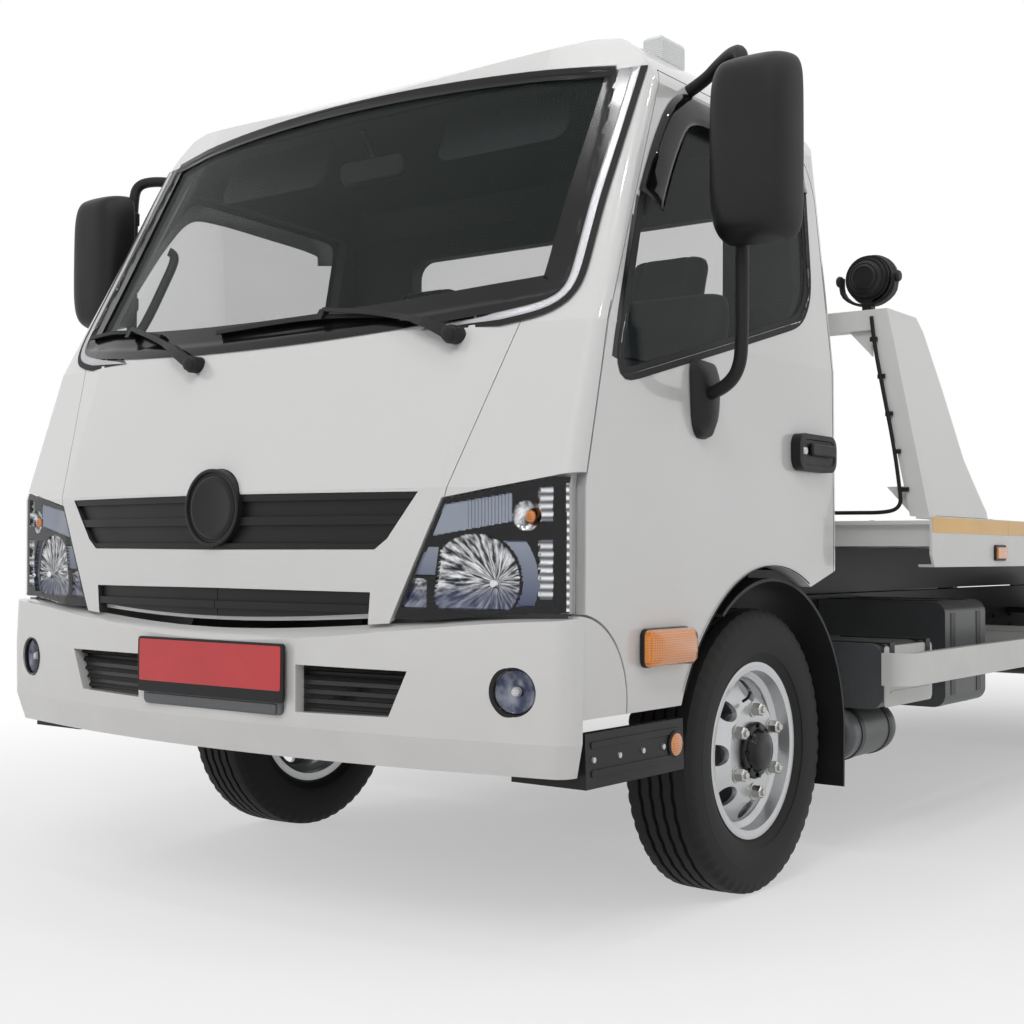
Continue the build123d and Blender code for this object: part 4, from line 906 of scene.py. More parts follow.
BUMPER_Y, BUMPER_BOW, BUMPER_HALF = -1128, 58, 682


def bumper_front(x):
    """Where the bowed face of the bumper lies, in millimetres."""
    return BUMPER_Y + BUMPER_BOW * (x / BUMPER_HALF) ** 2


for side, hand in SIDES:
    slats = []
    for z in range(548, 648, 22):
        reach = 556 + (z - 540) * 0.45
        for k in range(7):
            x0, x1 = 290 + (reach - 290) * k / 7, 290 + (reach - 290) * (k + 1) / 7
            y0, y1 = bumper_front(x0) + 22, bumper_front(x1) + 22
            slats.append(plate([at(side * x0, y0, z), at(side * x1, y1, z), at(side * x1, y1 + 8, z + 9),
                                at(side * x0, y0 + 8, z + 9)], (0, 0.012, -0.004)))
    back = [at(side * x, bumper_front(x) + 40, z)
            for x, z in ((287, 538), (550, 541), (600, 644), (287, 646))]
    slats.append(plate(back, (0, 0.004, 0)))
    add_piece(f"bumper_slats_{hand}", together(*slats), black_plastic, "chassis")

fog_skin = Skin("fog_lamps")
for side, hand in SIDES:
    centre = fog_skin.front(side * 864, 611)
    facing = Vector((side * 0.28, -1, 0)).normalized()
    bowl = lathe([(-0.004, 0.047), (-0.010, 0.038), (-0.015, 0.022), (-0.017, 0.0)], centre, facing, 36, False)
    add_piece(f"fog_bowl_{hand}", bowl, reflector, "chassis")
    ring = lathe([(0.004, 0.049), (0.006, 0.054), (0.004, 0.060), (-0.004, 0.060), (-0.004, 0.049)],
                 centre, facing, 36)
    add_piece(f"fog_ring_{hand}", ring, gloss_black, "chassis", 0.0008)
    bulb = lathe([(-0.002, 0.0), (-0.003, 0.009), (-0.009, 0.012), (-0.014, 0.012)], centre, facing, 20, False)
    add_piece(f"fog_bulb_{hand}", bulb, white_lens, "chassis")
print("bumper furniture ready")

# %% [markdown]
# ## Grille ring
# The round disc in the middle of the grille carries no sign. A plain raised ring and a shallow dish
# finish it, both turned about the disc's own axis.

# %% Grille
disc_centre = at(0, -1127, 1022)
dish = lathe([(0.0005, 0.0), (0.002, 0.045), (0.005, 0.066), (0.0055, 0.071), (0.004, 0.076), (0.001, 0.080)],
             disc_centre, (0, -1, 0), 64, False)
add_piece("grille_disc_face", dish, gloss_black, "cab")
ring = lathe([(0.0, 0.086), (0.005, 0.088), (0.006, 0.092), (0.004, 0.0965), (-0.01, 0.0965), (-0.01, 0.086)],
             disc_centre, (0, -1, 0), 64)
add_piece("grille_disc_ring", ring, black_plastic, "cab")
print("grille ready")

# %% [markdown]
# ## Mirrors
# Truck mirrors are deep rounded shells on a bent tube, with the glass set in from the rear edge. The CAD
# gives their size and place. A low box of points, rounded by subdivision, gives the soft moulded shell
# better than a bevelled block, so these pieces replace the CAD ones.

# %% Mirrors
MIRROR_X, MIRROR_Y, MIRROR_Z = 1191, -560, 1860
RING_STEPS = 28


def soft_ring(half_u, half_v, power):
    """A rounded outline about the origin, as flat points. A lower power gives squarer corners."""
    made = []
    for k in range(RING_STEPS):
        turn = 2 * pi * k / RING_STEPS
        c, s = cos(turn), sin(turn)
        u = half_u * abs(c) ** power * (1 if c >= 0 else -1)
        v = half_v * abs(s) ** power * (1 if s >= 0 else -1)
        made.append((u, v))
    return made


def shell_ring(y, half_x, half_z, power):
    """The mirror's outline at one depth of its shell."""
    return [at(MIRROR_X + u, y, MIRROR_Z + v) for u, v in soft_ring(half_x, half_z, power)]


# Columns: y, half width, half height, corner power.
SHELL_ROWS = [
    (MIRROR_Y + 60, 104, 216, 0.28), (MIRROR_Y + 58, 109, 220, 0.28), (MIRROR_Y + 20, 108, 219, 0.32),
    (MIRROR_Y - 20, 100, 210, 0.38), (MIRROR_Y - 44, 84, 192, 0.45), (MIRROR_Y - 56, 56, 160, 0.6),
]
for side, hand in SIDES:
    shell = loft([shell_ring(*row) for row in SHELL_ROWS])
    housing = add_piece(f"mirror_shell_{hand}", mirrored(shell, side), black_plastic, f"door_{hand}",
                        0, 2, 0, 60)
    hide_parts(f"mirror_{hand}")
    face = loft([shell_ring(MIRROR_Y + depth, 98, 210, 0.28) for depth in (61, 62.5)])
    add_piece(f"mirror_glass_{hand}", mirrored(face, side), mirror_face, f"door_{hand}")
    split = plate([at(u, MIRROR_Y + 62, v) for u, v in rounded(MIRROR_X, 1747, 192, 12, 4)], (0, 0.003, 0))
    add_piece(f"mirror_divider_{hand}", mirrored(split, side), black_plastic, f"door_{hand}", 0.0008)
    stay = [(975, -425, 1300), (1050, -452, 1306), (1118, -476, 1350), (1126, -480, 1440), (1126, -480, 1640),
            (1126, -480, 1900), (1126, -480, 2070), (1118, -470, 2122), (1076, -436, 2136), (1010, -390, 2128),
            (958, -362, 2108), (896, -350, 2090)]
    line = [at(side * x, y, z) for x, y, z in stay]
    rod(f"mirror_stay_{hand}", line, 0.0165, black_plastic, f"door_{hand}", 1)
    clamp = together(*[block(at(1104, -506, z - 22), at(1148, -468, z + 22)) for z in (1725, 2005)])
    add_piece(f"mirror_clamps_{hand}", mirrored(clamp, side), black_plastic, f"door_{hand}", 0.005)
    foot_rows = [(984.5, 56, 98, 0.5), (1000, 52, 92, 0.5), (1016, 36, 66, 0.6), (1024, 20, 36, 0.8)]
    foot = []
    for x, half_y, half_z, power in foot_rows:
        ring = []
        for k, (u, v) in enumerate(soft_ring(half_y, half_z, power)):
            broader_above = 1 + 0.25 * sin(2 * pi * k / RING_STEPS)
            ring.append(at(x, -424 + u * broader_above, 1294 + v))
        foot.append(ring)
    add_piece(f"mirror_foot_{hand}", mirrored(loft(foot), side), black_plastic, f"door_{hand}")
print("mirrors ready")

# %% [markdown]
# ## Door trim
# Each door has a black rubber window border, a black sash along its front edge, a smoked rain visor
# over the window, a recessed handle and an amber repeater. Borders are strips laid on the door's own surface.

# %% Door trim
WINDOW = [(-800, 1312), (165, 1566), (235, 1650), (272, 2035), (-425, 2062), (-612, 1820), (-778, 1420)]
window_line = eased(dense(WINDOW, 25), 6)


for side, hand in SIDES:
    door_skin = Skin(f"door_{hand}", f"door_glass_{hand}")
    body = f"door_{hand}"
    lay = lambda y, z: door_skin.side(y, z, side, 1.0)
    rows = (17, 11, 6, 3, 1, -1, -3, -6, -10, -15)
    add_piece(f"window_border_{hand}", band(window_line, rows, lay), seal_rubber, body, sharp=60)
    sash_line = eased(dense([(-792, 1352), (-778, 1420), (-640, 1752)], 20, False), 4, False)
    under = lambda y, z: door_skin.side(y, z, side, 0.5)
    sash = band(sash_line, (6, 2, -4, -12, -20, -28, -34), under, False)
    add_piece(f"window_sash_{hand}", sash, gloss_black, body)
    # Rain visor: three rows of points from the frame outward and down over the glass.
    visor_path = [(-640, 1768), (-560, 1900), (-470, 2020), (-400, 2066), (-250, 2068), (-50, 2058), (150, 2048),
                  (262, 2030), (268, 1950)]
    path = eased(dense(visor_path, 25, False), 5, False)
    rows = [(-16, 2), (4, 13), (26, 23), (48, 27), (66, 26)]
    points = []
    for offset, lift in rows:
        for k, p in enumerate(moved_out(path, offset, False)):
            hit = door_skin.side(p.x, p.y, side, 0) or door_skin.side(path[k].x, path[k].y, side, 0)
            points.append(Vector((hit.x + side * lift / 1000, p.x / 1000 + AXLE_Y, p.y / 1000)))
    count = len(path)
    faces = [(r * count + i, r * count + i + 1, (r + 1) * count + i + 1, (r + 1) * count + i)
             for r in range(len(rows) - 1) for i in range(count - 1)]
    add_piece(f"window_visor_{hand}", (points, faces), visor_smoke, body, 0, 1, 0.0025)
    ring = [(184 + u, 1195 + v) for u, v in rounded(0, 0, 234, 102, 34, 6)]
    inner = [(184 + u, 1195 + v) for u, v in rounded(0, 0, 200, 70, 24, 6)]
    rows = [(ring, 982), (ring, 1012), (inner, 1014), (inner, 1010.5)]
    rings = [[at(x, y, z) for y, z in flat] for flat, x in rows]
    add_piece(f"door_handle_bezel_{hand}", mirrored(loft(rings), side), black_plastic, body, 0.0015)
    bar_line = [at(1010, 184 + u, 1203 + v) for u, v in rounded(14, 0, 150, 34, 12)]
    add_piece(f"door_handle_pull_{hand}", mirrored(plate(bar_line, (0.014, 0, 0)), side), black_plastic, body,
              0.005)
    barrel = lathe([(0, 0), (0.006, 0.0), (0.006, 0.010), (0, 0.012)], at(1010.5, 95, 1197), (1, 0, 0), 20, False)
    add_piece(f"door_lock_{hand}", mirrored(barrel, side), zinc, body)
    lens_rows = [(rounded(0, 0, 210, 86, 16, 6), 996), (rounded(0, 0, 210, 86, 16, 6), 1010),
                 (rounded(0, 0, 196, 72, 16, 6), 1020), (rounded(4, 0, 150, 46, 14, 6), 1026)]
    lens = loft([[at(x, -600 + u, 695 + v) for u, v in flat] for flat, x in lens_rows])
    add_piece(f"side_repeater_{hand}", mirrored(lens, side), amber_lens, body)
    base = loft([[at(x, -600 + u, 695 + v) for u, v in rounded(0, 0, 214, 90, 18, 6)] for x in (983, 996)])
    add_piece(f"side_repeater_base_{hand}", mirrored(base, side), black_plastic, body, 0.003)
print("door trim ready")

# %% [markdown]
# ## Tyres
# The CAD tyres are plain rings. A road tyre for a light truck has five ribs parted by zigzag grooves,
# notched shoulders, a rim line above the bead and two scuff ribs on each wall. One section is turned
# about the axle in small steps, and the step's number moves the groove sideways or sinks the notch.

# %% Tyres
TREAD_STEPS = 168
GROOVES = (-48, -16, 16, 48)


def tyre_section(step):
    """The section of the tyre at one step round it, as (axial, radius) in millimetres."""
    zigzag = (1.6, 0.0, -1.6, 0.0)[step % 4]
    notch = 7.0 if step % 3 == 0 else 0.0
    wall = [(64, 223), (72, 227), (79, 236), (83, 240), (82, 245), (93, 262), (95, 265), (96.5, 264), (98, 268),
            (102.5, 290), (103.5, 306), (103.8, 318), (104.0, 321), (103.0, 324), (103.2, 333), (102.4, 337),
            (100.5, 350 - notch * 0.3), (98, 364 - notch), (92, 374 - notch), (85, 380.5 - 0.5 * notch), (76, 381.6)]
    made = [(-axial, radius) for axial, radius in wall]
    for place in GROOVES:
        crown = 383.4 - 1.8 * (place / 76) ** 2
        middle = place + zigzag
        made += [(middle - 6.0, crown), (middle - 3.6, crown - 9), (middle + 3.6, crown - 9), (middle + 6.0, crown)]
    return made + wall[::-1]


def tyre_shape(centre):
    points, faces = [], []
    for step in range(TREAD_STEPS):
        turn = 2 * pi * step / TREAD_STEPS
        for axial, radius in tyre_section(step):
            out = Vector((axial, radius * cos(turn), radius * sin(turn))) / 1000
            points.append(centre + out)
    count = len(points) // TREAD_STEPS
    for step in range(TREAD_STEPS):
        a, b = step * count, (step + 1) % TREAD_STEPS * count
        faces += [(a + i, a + (i + 1) % count, b + (i + 1) % count, b + i) for i in range(count)]
    return points, faces


FRONT_X, TWIN_X = 827, (638, 882)
WHEELBASE = (REAR_AXLE_Y - AXLE_Y) * 1000
for side, hand in SIDES:
    shape = tyre_shape(at(side * FRONT_X, 0, WHEEL_HEIGHT))
    tread = add_piece(f"tread_front_{hand}", shape, tyre_rubber, f"wheel_front_{hand}", sharp=28)
    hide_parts(f"tyre_front_{hand}")
    pair = [tyre_shape(at(side * x, WHEELBASE, WHEEL_HEIGHT)) for x in TWIN_X]
    treads = add_piece(f"tread_rear_{hand}", together(*pair), tyre_rubber, f"wheel_rear_{hand}",
                       sharp=28)
    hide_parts(f"tyres_rear_{hand}")
    print("tyres", hand, "faces", len(shape[1]) * 3)

# %% [markdown]
# ## Wheel nuts, hub caps and valves
# Six nuts with washers and bare stud ends hold each wheel. The front hub ends in a black grease cap with
# small bolts round it, and a short valve stem leans out of one hand hole.


# %% Wheel furniture
STUD_CIRCLE, STUDS = 0.111, 6


def nut(centre, out):
    """A hexagon nut on its washer, with the stud's end."""
    washer = lathe([(-0.002, 0.014), (-0.002, 0.0225), (0.003, 0.0225), (0.004, 0.017)], centre, out, 24)
    hexagon = lathe([(0.003, 0.0), (0.003, 0.0182), (0.025, 0.0182), (0.0285, 0.0155), (0.0285, 0.0)], centre,
                    out, 6, False)
    stud = lathe([(0.027, 0.0095), (0.034, 0.0095), (0.036, 0.0075), (0.036, 0.0)], centre, out, 16, False)
    return together(washer, hexagon, stud)


def round_axle(centre, radius, count, first=pi / 2):
    """Points on a circle about an axle along X."""
    turns = [first + 2 * pi * k / count for k in range(count)]
    return [centre + Vector((0, radius * cos(t), radius * sin(t))) for t in turns]


for side, hand in SIDES:
    out = Vector((side, 0, 0))
    wheels = ((f"wheel_front_{hand}", at(side * (FRONT_X + 78), 0, WHEEL_HEIGHT)),
              (f"wheel_rear_{hand}", at(side * 772, WHEELBASE, WHEEL_HEIGHT)))
    for body, face in wheels:
        nuts = [nut(spot, out) for spot in round_axle(face, STUD_CIRCLE, STUDS)]
        add_piece(f"{body}_nuts", together(*nuts), zinc, body, sharp=30)
        foot = round_axle(face, 0.150, 1, 2.0)[0]
        reach = Vector((0, foot.y - face.y, foot.z - face.z)).normalized()
        stem = [foot + 0.002 * out, foot + 0.02 * out + 0.012 * reach, foot + 0.03 * out + 0.03 * reach]
        rod(f"{body}_valve", stem, 0.004, seal_rubber, body)
    front = at(side * FRONT_X, 0, WHEEL_HEIGHT)
    cap = lathe([(0.0785, 0.0765), (0.088, 0.0765), (0.092, 0.073), (0.094, 0.060), (0.104, 0.0555), (0.1125, 0.0505),
                 (0.1155, 0.044), (0.1165, 0.020), (0.1165, 0.0)], front, out, 56, False)
    screws = [lathe([(0.093, 0.0), (0.093, 0.0062), (0.099, 0.0062), (0.0995, 0.0)], spot, out, 6, False)
              for spot in round_axle(front, 0.0672, 8)]
    add_piece(f"hub_cap_{hand}", together(cap, *screws), gloss_black, f"wheel_front_{hand}",
              sharp=30)
    rear = at(side * 760, WHEELBASE, WHEEL_HEIGHT)
    flange = lathe([(0.108, 0.0755), (0.112, 0.0755), (0.1165, 0.072), (0.140, 0.0605), (0.1475, 0.056),
                    (0.1485, 0.050), (0.1485, 0.0)], rear, out, 56, False)
    screws = [lathe([(0.147, 0.0), (0.147, 0.0068), (0.154, 0.0068), (0.1545, 0.0)], spot, out, 6, False)
              for spot in round_axle(rear, 0.044, 8)]
    add_piece(f"shaft_flange_{hand}", together(flange, *screws), cast_metal, f"wheel_rear_{hand}",
              sharp=30)
print("wheel furniture ready")

# %% [markdown]
# ## Wheel arches and steps
# A black rubber lip edges each front arch. The step has raised grip bars on its tread, two long ribs on
# its face, a round amber reflector and four bolts.

# %% Arches and steps
ARCH_Y, ARCH_Z, ARCH_R = -45, 395, 487
for side, hand in SIDES:
    arch_skin = Skin(f"door_{hand}", "cab_body")
    turns = [radians(20 + 138 * k / 60) for k in range(61)]
    arch_line = [Vector((ARCH_Y + (ARCH_R + 1) * cos(t), ARCH_Z + (ARCH_R + 1) * sin(t))) for t in turns]
    door_part = [p for p in arch_line if p.x < 334 and p.y > 552]
    rims = []
    for inner, outer, lift in ((-14, 1.5, 1.2), (-1.5, 0.5, 5.0)):
        rims.append(band(door_part, (-inner, -outer), lambda y, z: arch_skin.side(y, z, side, lift), False))
    add_piece(f"arch_lip_{hand}", together(*rims), seal_rubber, f"door_{hand}", 0, 1, 0.003)
    bars = []
    for k in range(7):
        x = 800 + 22 * k
        bars.append(plate([at(side * x, -915, 423.5), at(side * (x + 9), -915, 423.5), at(side * (x + 6), -915, 428),
                           at(side * (x + 3), -915, 428)], (0, 0.4, 0)))
    add_piece(f"step_grip_{hand}", together(*bars), black_plastic, "chassis")
    ribs = [plate([at(side * (983 + push), y, z) for y, z in rounded(-715, mid, 380, 16, 7)], (side * 0.004, 0, 0))
            for mid, push in ((430, -1.2), (492, -3.2))]
    add_piece(f"step_ribs_{hand}", together(*ribs), black_plastic, "chassis", 0.0015)
    spot = at(side * 982, -545, 460)
    disc = lathe([(-0.002, 0.034), (0.004, 0.034), (0.006, 0.031), (0.006, 0.027)], spot, (side, 0, 0), 32)
    add_piece(f"step_reflector_ring_{hand}", disc, black_plastic, "chassis")
    glow = lathe([(0.0, 0.029), (0.005, 0.0285), (0.008, 0.020), (0.009, 0.0)], spot, (side, 0, 0), 32, False)
    add_piece(f"step_reflector_{hand}", glow, amber_lens, "chassis")
    bolts = [lathe([(0, 0), (0.005, 0.0), (0.005, 0.007), (0, 0.008)], at(side * 981, y, 460), (side, 0, 0), 6, False)
             for y in (-895, -790, -690, -600)]
    add_piece(f"step_bolts_{hand}", together(*bolts), zinc, "chassis")
print("arches and steps ready")

# %% [markdown]
# ## Seats
# Each seat is a base cushion, a back rest and a head rest. A pad is one closed form: a square sheet
# bulged on both faces, fuller in front than behind, whose edges pull in between the corners. Sewn
# channels are shallow troughs across the front face, and the woven cloth is in the material.


# %% Seats
def pad(centre, across, along, out, crown, channels):
    """A stuffed pad with half sizes as vectors, bulged along out, with sewn channels."""
    steps = 30
    normal = out.normalized()
    half = out.length
    points, faces = [], []
    for face in (1, -1):
        for r in range(steps + 1):
            for c in range(steps + 1):
                s, t = 2 * c / steps - 1, 2 * r / steps - 1
                pull = 1 - 0.035 * (1 - s * s) * abs(t) ** 6, 1 - 0.035 * (1 - t * t) * abs(s) ** 6
                round_s = s * (1 - 0.10 * (t * t) ** 3)
                round_t = t * (1 - 0.10 * (s * s) ** 3)
                edge = max(0.0, (1 - abs(s) ** 7) * (1 - abs(t) ** 7)) ** 0.42
                height = half * edge * (1 + crown * (1 - s * s) * (1 - t * t) if face > 0 else 0.85)
                if face > 0:
                    for place in channels:
                        height -= 0.011 * edge * 2.7 ** (-((t - place) / 0.035) ** 2)
                    for place in (-0.62, 0.62):
                        height -= 0.009 * edge * 2.7 ** (-((s - place) / 0.030) ** 2)
                points.append(centre + across * round_s * pull[1] + along * round_t * pull[0] + normal * height * face)
    row = steps + 1
    for face in range(2):
        base = face * row * row
        for r in range(steps):
            for c in range(steps):
                a = base + r * row + c
                loop = (a, a + 1, a + row + 1, a + row)
                faces.append(loop if face == 0 else loop[::-1])
    return points, faces


# Columns: name, middle x, width, height of the back rest.
SEAT_ROWS = [("driver", 480, 500, 660), ("middle", -60, 380, 600), ("passenger", -480, 420, 660)]
SEAT_TOP = 986
for seat, x, width, rest in SEAT_ROWS:
    half = Vector((width / 2000 - 0.004, 0, 0))
    lean = Vector((0, 0.172, rest / 1000 - 0.11)).normalized()
    facing = Vector((0, -lean.z, lean.y))
    cushion = pad(at(x, -166, SEAT_TOP + 72), half, Vector((0, -0.252, -0.004)), Vector((0, 0.002, 0.062)), 0.22,
                  (-0.45, 0.0, 0.45))
    base = add_piece(f"seat_cushion_{seat}", cushion, seat_cloth, "cab", sharp=80)
    if seat == "driver":
        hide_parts("seats")
    back = pad(at(x, 148, SEAT_TOP + 105 + rest / 2), half, lean * (rest / 2000 - 0.045), facing * 0.052, 0.2,
               (-0.5, -0.1, 0.3))
    add_piece(f"seat_back_{seat}", back, seat_cloth, "cab", sharp=80)
    top = at(x, 262, SEAT_TOP + rest + 88)
    head = pad(top, Vector((0.128, 0, 0)), lean * 0.078, facing * 0.040, 0.12, ())
    add_piece(f"head_rest_{seat}", head, seat_cloth, "cab", sharp=80)
    posts = together(*[lathe([(-0.05, 0.0), (-0.05, 0.006), (0.05, 0.006), (0.05, 0.0)],
                             at(x + step, 244, SEAT_TOP + rest + 14), lean, 14, False) for step in (-55, 55)])
    add_piece(f"head_rest_posts_{seat}", posts, chrome, "cab")
    runner = together(*[block(at(x + step - 14, -380, SEAT_TOP), at(x + step + 14, 60, SEAT_TOP + 22))
                        for step in (-width / 2 + 60, width / 2 - 60)])
    add_piece(f"seat_runners_{seat}", runner, cast_metal, "cab", 0.002)
print("seats", len(SEAT_ROWS))

# %% [markdown]
# ## Cabin
# Through the tinted glass one sees the headlining, two sun visors, the inside mirror, a grab handle on
# each screen pillar and the top of the dashboard. Doors that open show their trim panels and arm rests,
# and the floor has pedals and a gear lever.

# %% Cabin
lining_skin = Skin("cab_body")
lining_rows = 14
points, faces = [], []
for r in range(lining_rows + 1):
    for c in range(lining_rows + 1):
        x, y = -780 + 1560 * c / lining_rows, -470 + 760 * r / lining_rows
        start = at(x, y, 1750)
        hit = lining_skin.tree.ray_cast(start, Vector((0, 0, 1)))[0]
        points.append((hit or at(x, y, 2150)) - Vector((0, 0, 0.006)))
for r in range(lining_rows):
    for c in range(lining_rows):
        a = r * (lining_rows + 1) + c
        faces.append((a, a + 1, a + lining_rows + 2, a + lining_rows + 1))
add_piece("headlining", (points, faces), roof_felt, "cab", 0, 1, 0.003)

for side, hand in SIDES:
    flap = [at(side * 430 + u, -505 + 0.42 * v, 2050 + v) for u, v in rounded(0, 0, 430, 150, 40)]
    add_piece(f"sun_visor_{hand}", plate(flap, (0, 0.016, 0.004)), roof_felt, "cab", 0.005)
    grip_path = ((838, -742, 1545), (806, -716, 1560), (796, -672, 1640), (786, -632, 1730), (782, -598, 1800),
                 (804, -574, 1838), (816, -588, 1846))
    grip = [at(side * x, y, z) for x, y, z in grip_path]
    rod(f"pillar_handle_{hand}", grip, 0.014, black_plastic, "cab", 1)
    trim = Skin(f"door_{hand}")
    points, faces = [], []
    for r in range(9):
        for c in range(15):
            y, z = -700 + 960 * c / 14, 930 + (330 + 14 * c) * r / 8
            hit = trim.tree.ray_cast(at(0, y, z), Vector((side, 0, 0)))[0]
            points.append((hit or at(side * 930, y, z)) - Vector((side * 0.003, 0, 0)))
    faces = [(r * 15 + c, r * 15 + c + 1, r * 15 + c + 16, r * 15 + c + 15) for r in range(8) for c in range(14)]
    add_piece(f"door_trim_{hand}", (points, faces), grey_plastic, f"door_{hand}", 0, 1, 0.003)
    rest_rows = [(928, 300, 34, 0.6), (916, 300, 36, 0.5), (892, 292, 30, 0.5), (880, 270, 18, 0.6)]
    rings = [[at(side * x, -120 + u, 1190 + v) for u, v in soft_ring(half_y, half_z, power)]
             for x, half_y, half_z, power in rest_rows]
    add_piece(f"door_arm_rest_{hand}", loft(rings), black_plastic, f"door_{hand}")
    crank = [at(side * 926, -330, 1140), at(side * 900, -330, 1140), at(side * 896, -300, 1085),
             at(side * 872, -298, 1080)]
    rod(f"window_crank_{hand}", crank, 0.009, black_plastic, f"door_{hand}", 1)
print("cabin trim ready")

# %% [markdown]
# The dashboard gets a hood over three dials, four vents, a glove box and a blank radio panel. An inside
# mirror hangs from the screen's top edge. Each is a rounded outline pulled into a plate.

# %% Dashboard
hood = [at(470 + u, -742 - 0.2 * v, 1428 + v) for u, v in rounded(0, 0, 400, 84, 38, 8)]
add_piece("dash_hood", plate(hood, (0, -0.14, 0.012)), grey_plastic, "cab", 0.006)
dials = []
for u, radius in ((-100, 0.044), (0, 0.030), (100, 0.044)):
    rim = [(0.0, 0.0), (0.001, radius), (0.005, radius), (0.005, radius + 0.004), (0.0, radius + 0.004)]
    dials.append(lathe(rim, at(470 + u, -741, 1430), (0, 1, 0.2), 32, False))
add_piece("dash_dials", together(*dials), gloss_black, "cab")
vents = []
for x in (-760, -240, 90, 770):
    for z in range(1330, 1385, 11):
        y = -744 + 0.16 * (1380 - z)
        slat = [at(x - 50, y, z), at(x + 50, y, z), at(x + 50, y + 6, z - 7), at(x - 50, y + 6, z - 7)]
        vents.append(plate(slat, (0, -0.002, 0.002)))
add_piece("dash_vents", together(*vents), black_plastic, "cab")
lid = [at(-480 + u, -760 + 0.165 * (v + 5), 1290 + v) for u, v in rounded(0, 0, 420, 120, 22)]
add_piece("glove_box_lid", plate(lid, (0, 0.012, 0.002)), grey_plastic, "cab", 0.004)
radio = [at(60 + u, -752 + 0.165 * (v + 5), 1262 + v) for u, v in rounded(0, 0, 190, 62, 6)]
add_piece("radio_panel", plate(radio, (0, 0.012, 0.002)), gloss_black, "cab", 0.002)
rod("inside_mirror_stalk", [at(0, -590, 2090), at(0, -560, 2050), at(0, -540, 2010)], 0.007, black_plastic, "cab")
mirror_rim = [at(u, -534, 1985 + v) for u, v in rounded(0, 0, 240, 66, 26, 6)]
add_piece("inside_mirror", plate(mirror_rim, (0, -0.022, 0.004)), black_plastic, "cab", 0.006)
mirror_pane = [at(u, -533, 1985 + v) for u, v in rounded(0, 0, 224, 52, 22, 6)]
add_piece("inside_mirror_glass", plate(mirror_pane, (0, 0.0012, 0)), mirror_face, "cab")
print("dashboard ready")

# %% [markdown]
# The driver's controls are bent rods with turned or flat ends: a gear lever with its boot, three pedals
# and two stalks beside the steering column.

# %% Controls
lever = [at(150, -620, 985), at(150, -610, 1080), at(160, -585, 1190), at(165, -575, 1240)]
rod("gear_lever", lever, 0.010, black_plastic, "cab", 1)
knob = lathe([(-0.03, 0.0), (-0.028, 0.014), (-0.006, 0.024), (0.016, 0.022), (0.028, 0.012), (0.031, 0.0)],
             at(165, -573, 1262), (0, 0.1, 1), 24, False)
add_piece("gear_knob", knob, gloss_black, "cab")
boot = lathe([(0.0, 0.085), (0.012, 0.080), (0.022, 0.058), (0.036, 0.062), (0.048, 0.040), (0.060, 0.044),
              (0.076, 0.022), (0.095, 0.014)],
             at(150, -620, 985.5), (0, 0.08, 1), 32, False)
add_piece("gear_boot", boot, seal_rubber, "cab")
for name, x in (("clutch", 610), ("brake", 535), ("throttle", 400)):
    arm = [at(x, -770, 1075), at(x, -772, 960), at(x, -752, 870)]
    rod(f"{name}_pedal_arm", arm, 0.008, cast_metal, "cab", 1)
    face = [at(x + u, -745 - 0.35 * v, 855 + v) for u, v in rounded(0, 0, 62, 74, 10)]
    add_piece(f"{name}_pedal", plate(face, (0, -0.012, -0.004)), seal_rubber, "cab", 0.003)
STEERING_HUB, COLUMN_WAY = at(470, -560, 1365), (0, 0.5, 0.866)
boss = lathe([(-0.008, 0.058), (0.010, 0.056), (0.018, 0.044), (0.022, 0.0)], STEERING_HUB, COLUMN_WAY, 36, False)
add_piece("wheel_boss", boss, black_plastic, "cab")
stalks = [[at(470 + turn * 40, -604, 1290), at(470 + turn * 110, -590, 1300), at(470 + turn * 190, -585, 1312)]
          for turn in (-1, 1)]
for stalk, turn in zip(stalks, ("right", "left")):
    rod(f"column_stalk_{turn}", stalk, 0.007, black_plastic, "cab", 1)
shroud = lathe([(-0.20, 0.036), (-0.19, 0.052), (-0.06, 0.060), (-0.045, 0.046)], STEERING_HUB, COLUMN_WAY, 32)
add_piece("column_shroud", shroud, grey_plastic, "cab", 0.003)
print("controls ready")

# %% [markdown]
# ## Platform
# A yellow reflective tape runs along the top of each side rail, in lengths with narrow gaps. Its tiny
# cells are a cell texture in the bump. The deck carries two wheel tracks of raised studs, lashing rings
# along both edges and countersunk bolts over the cross members.

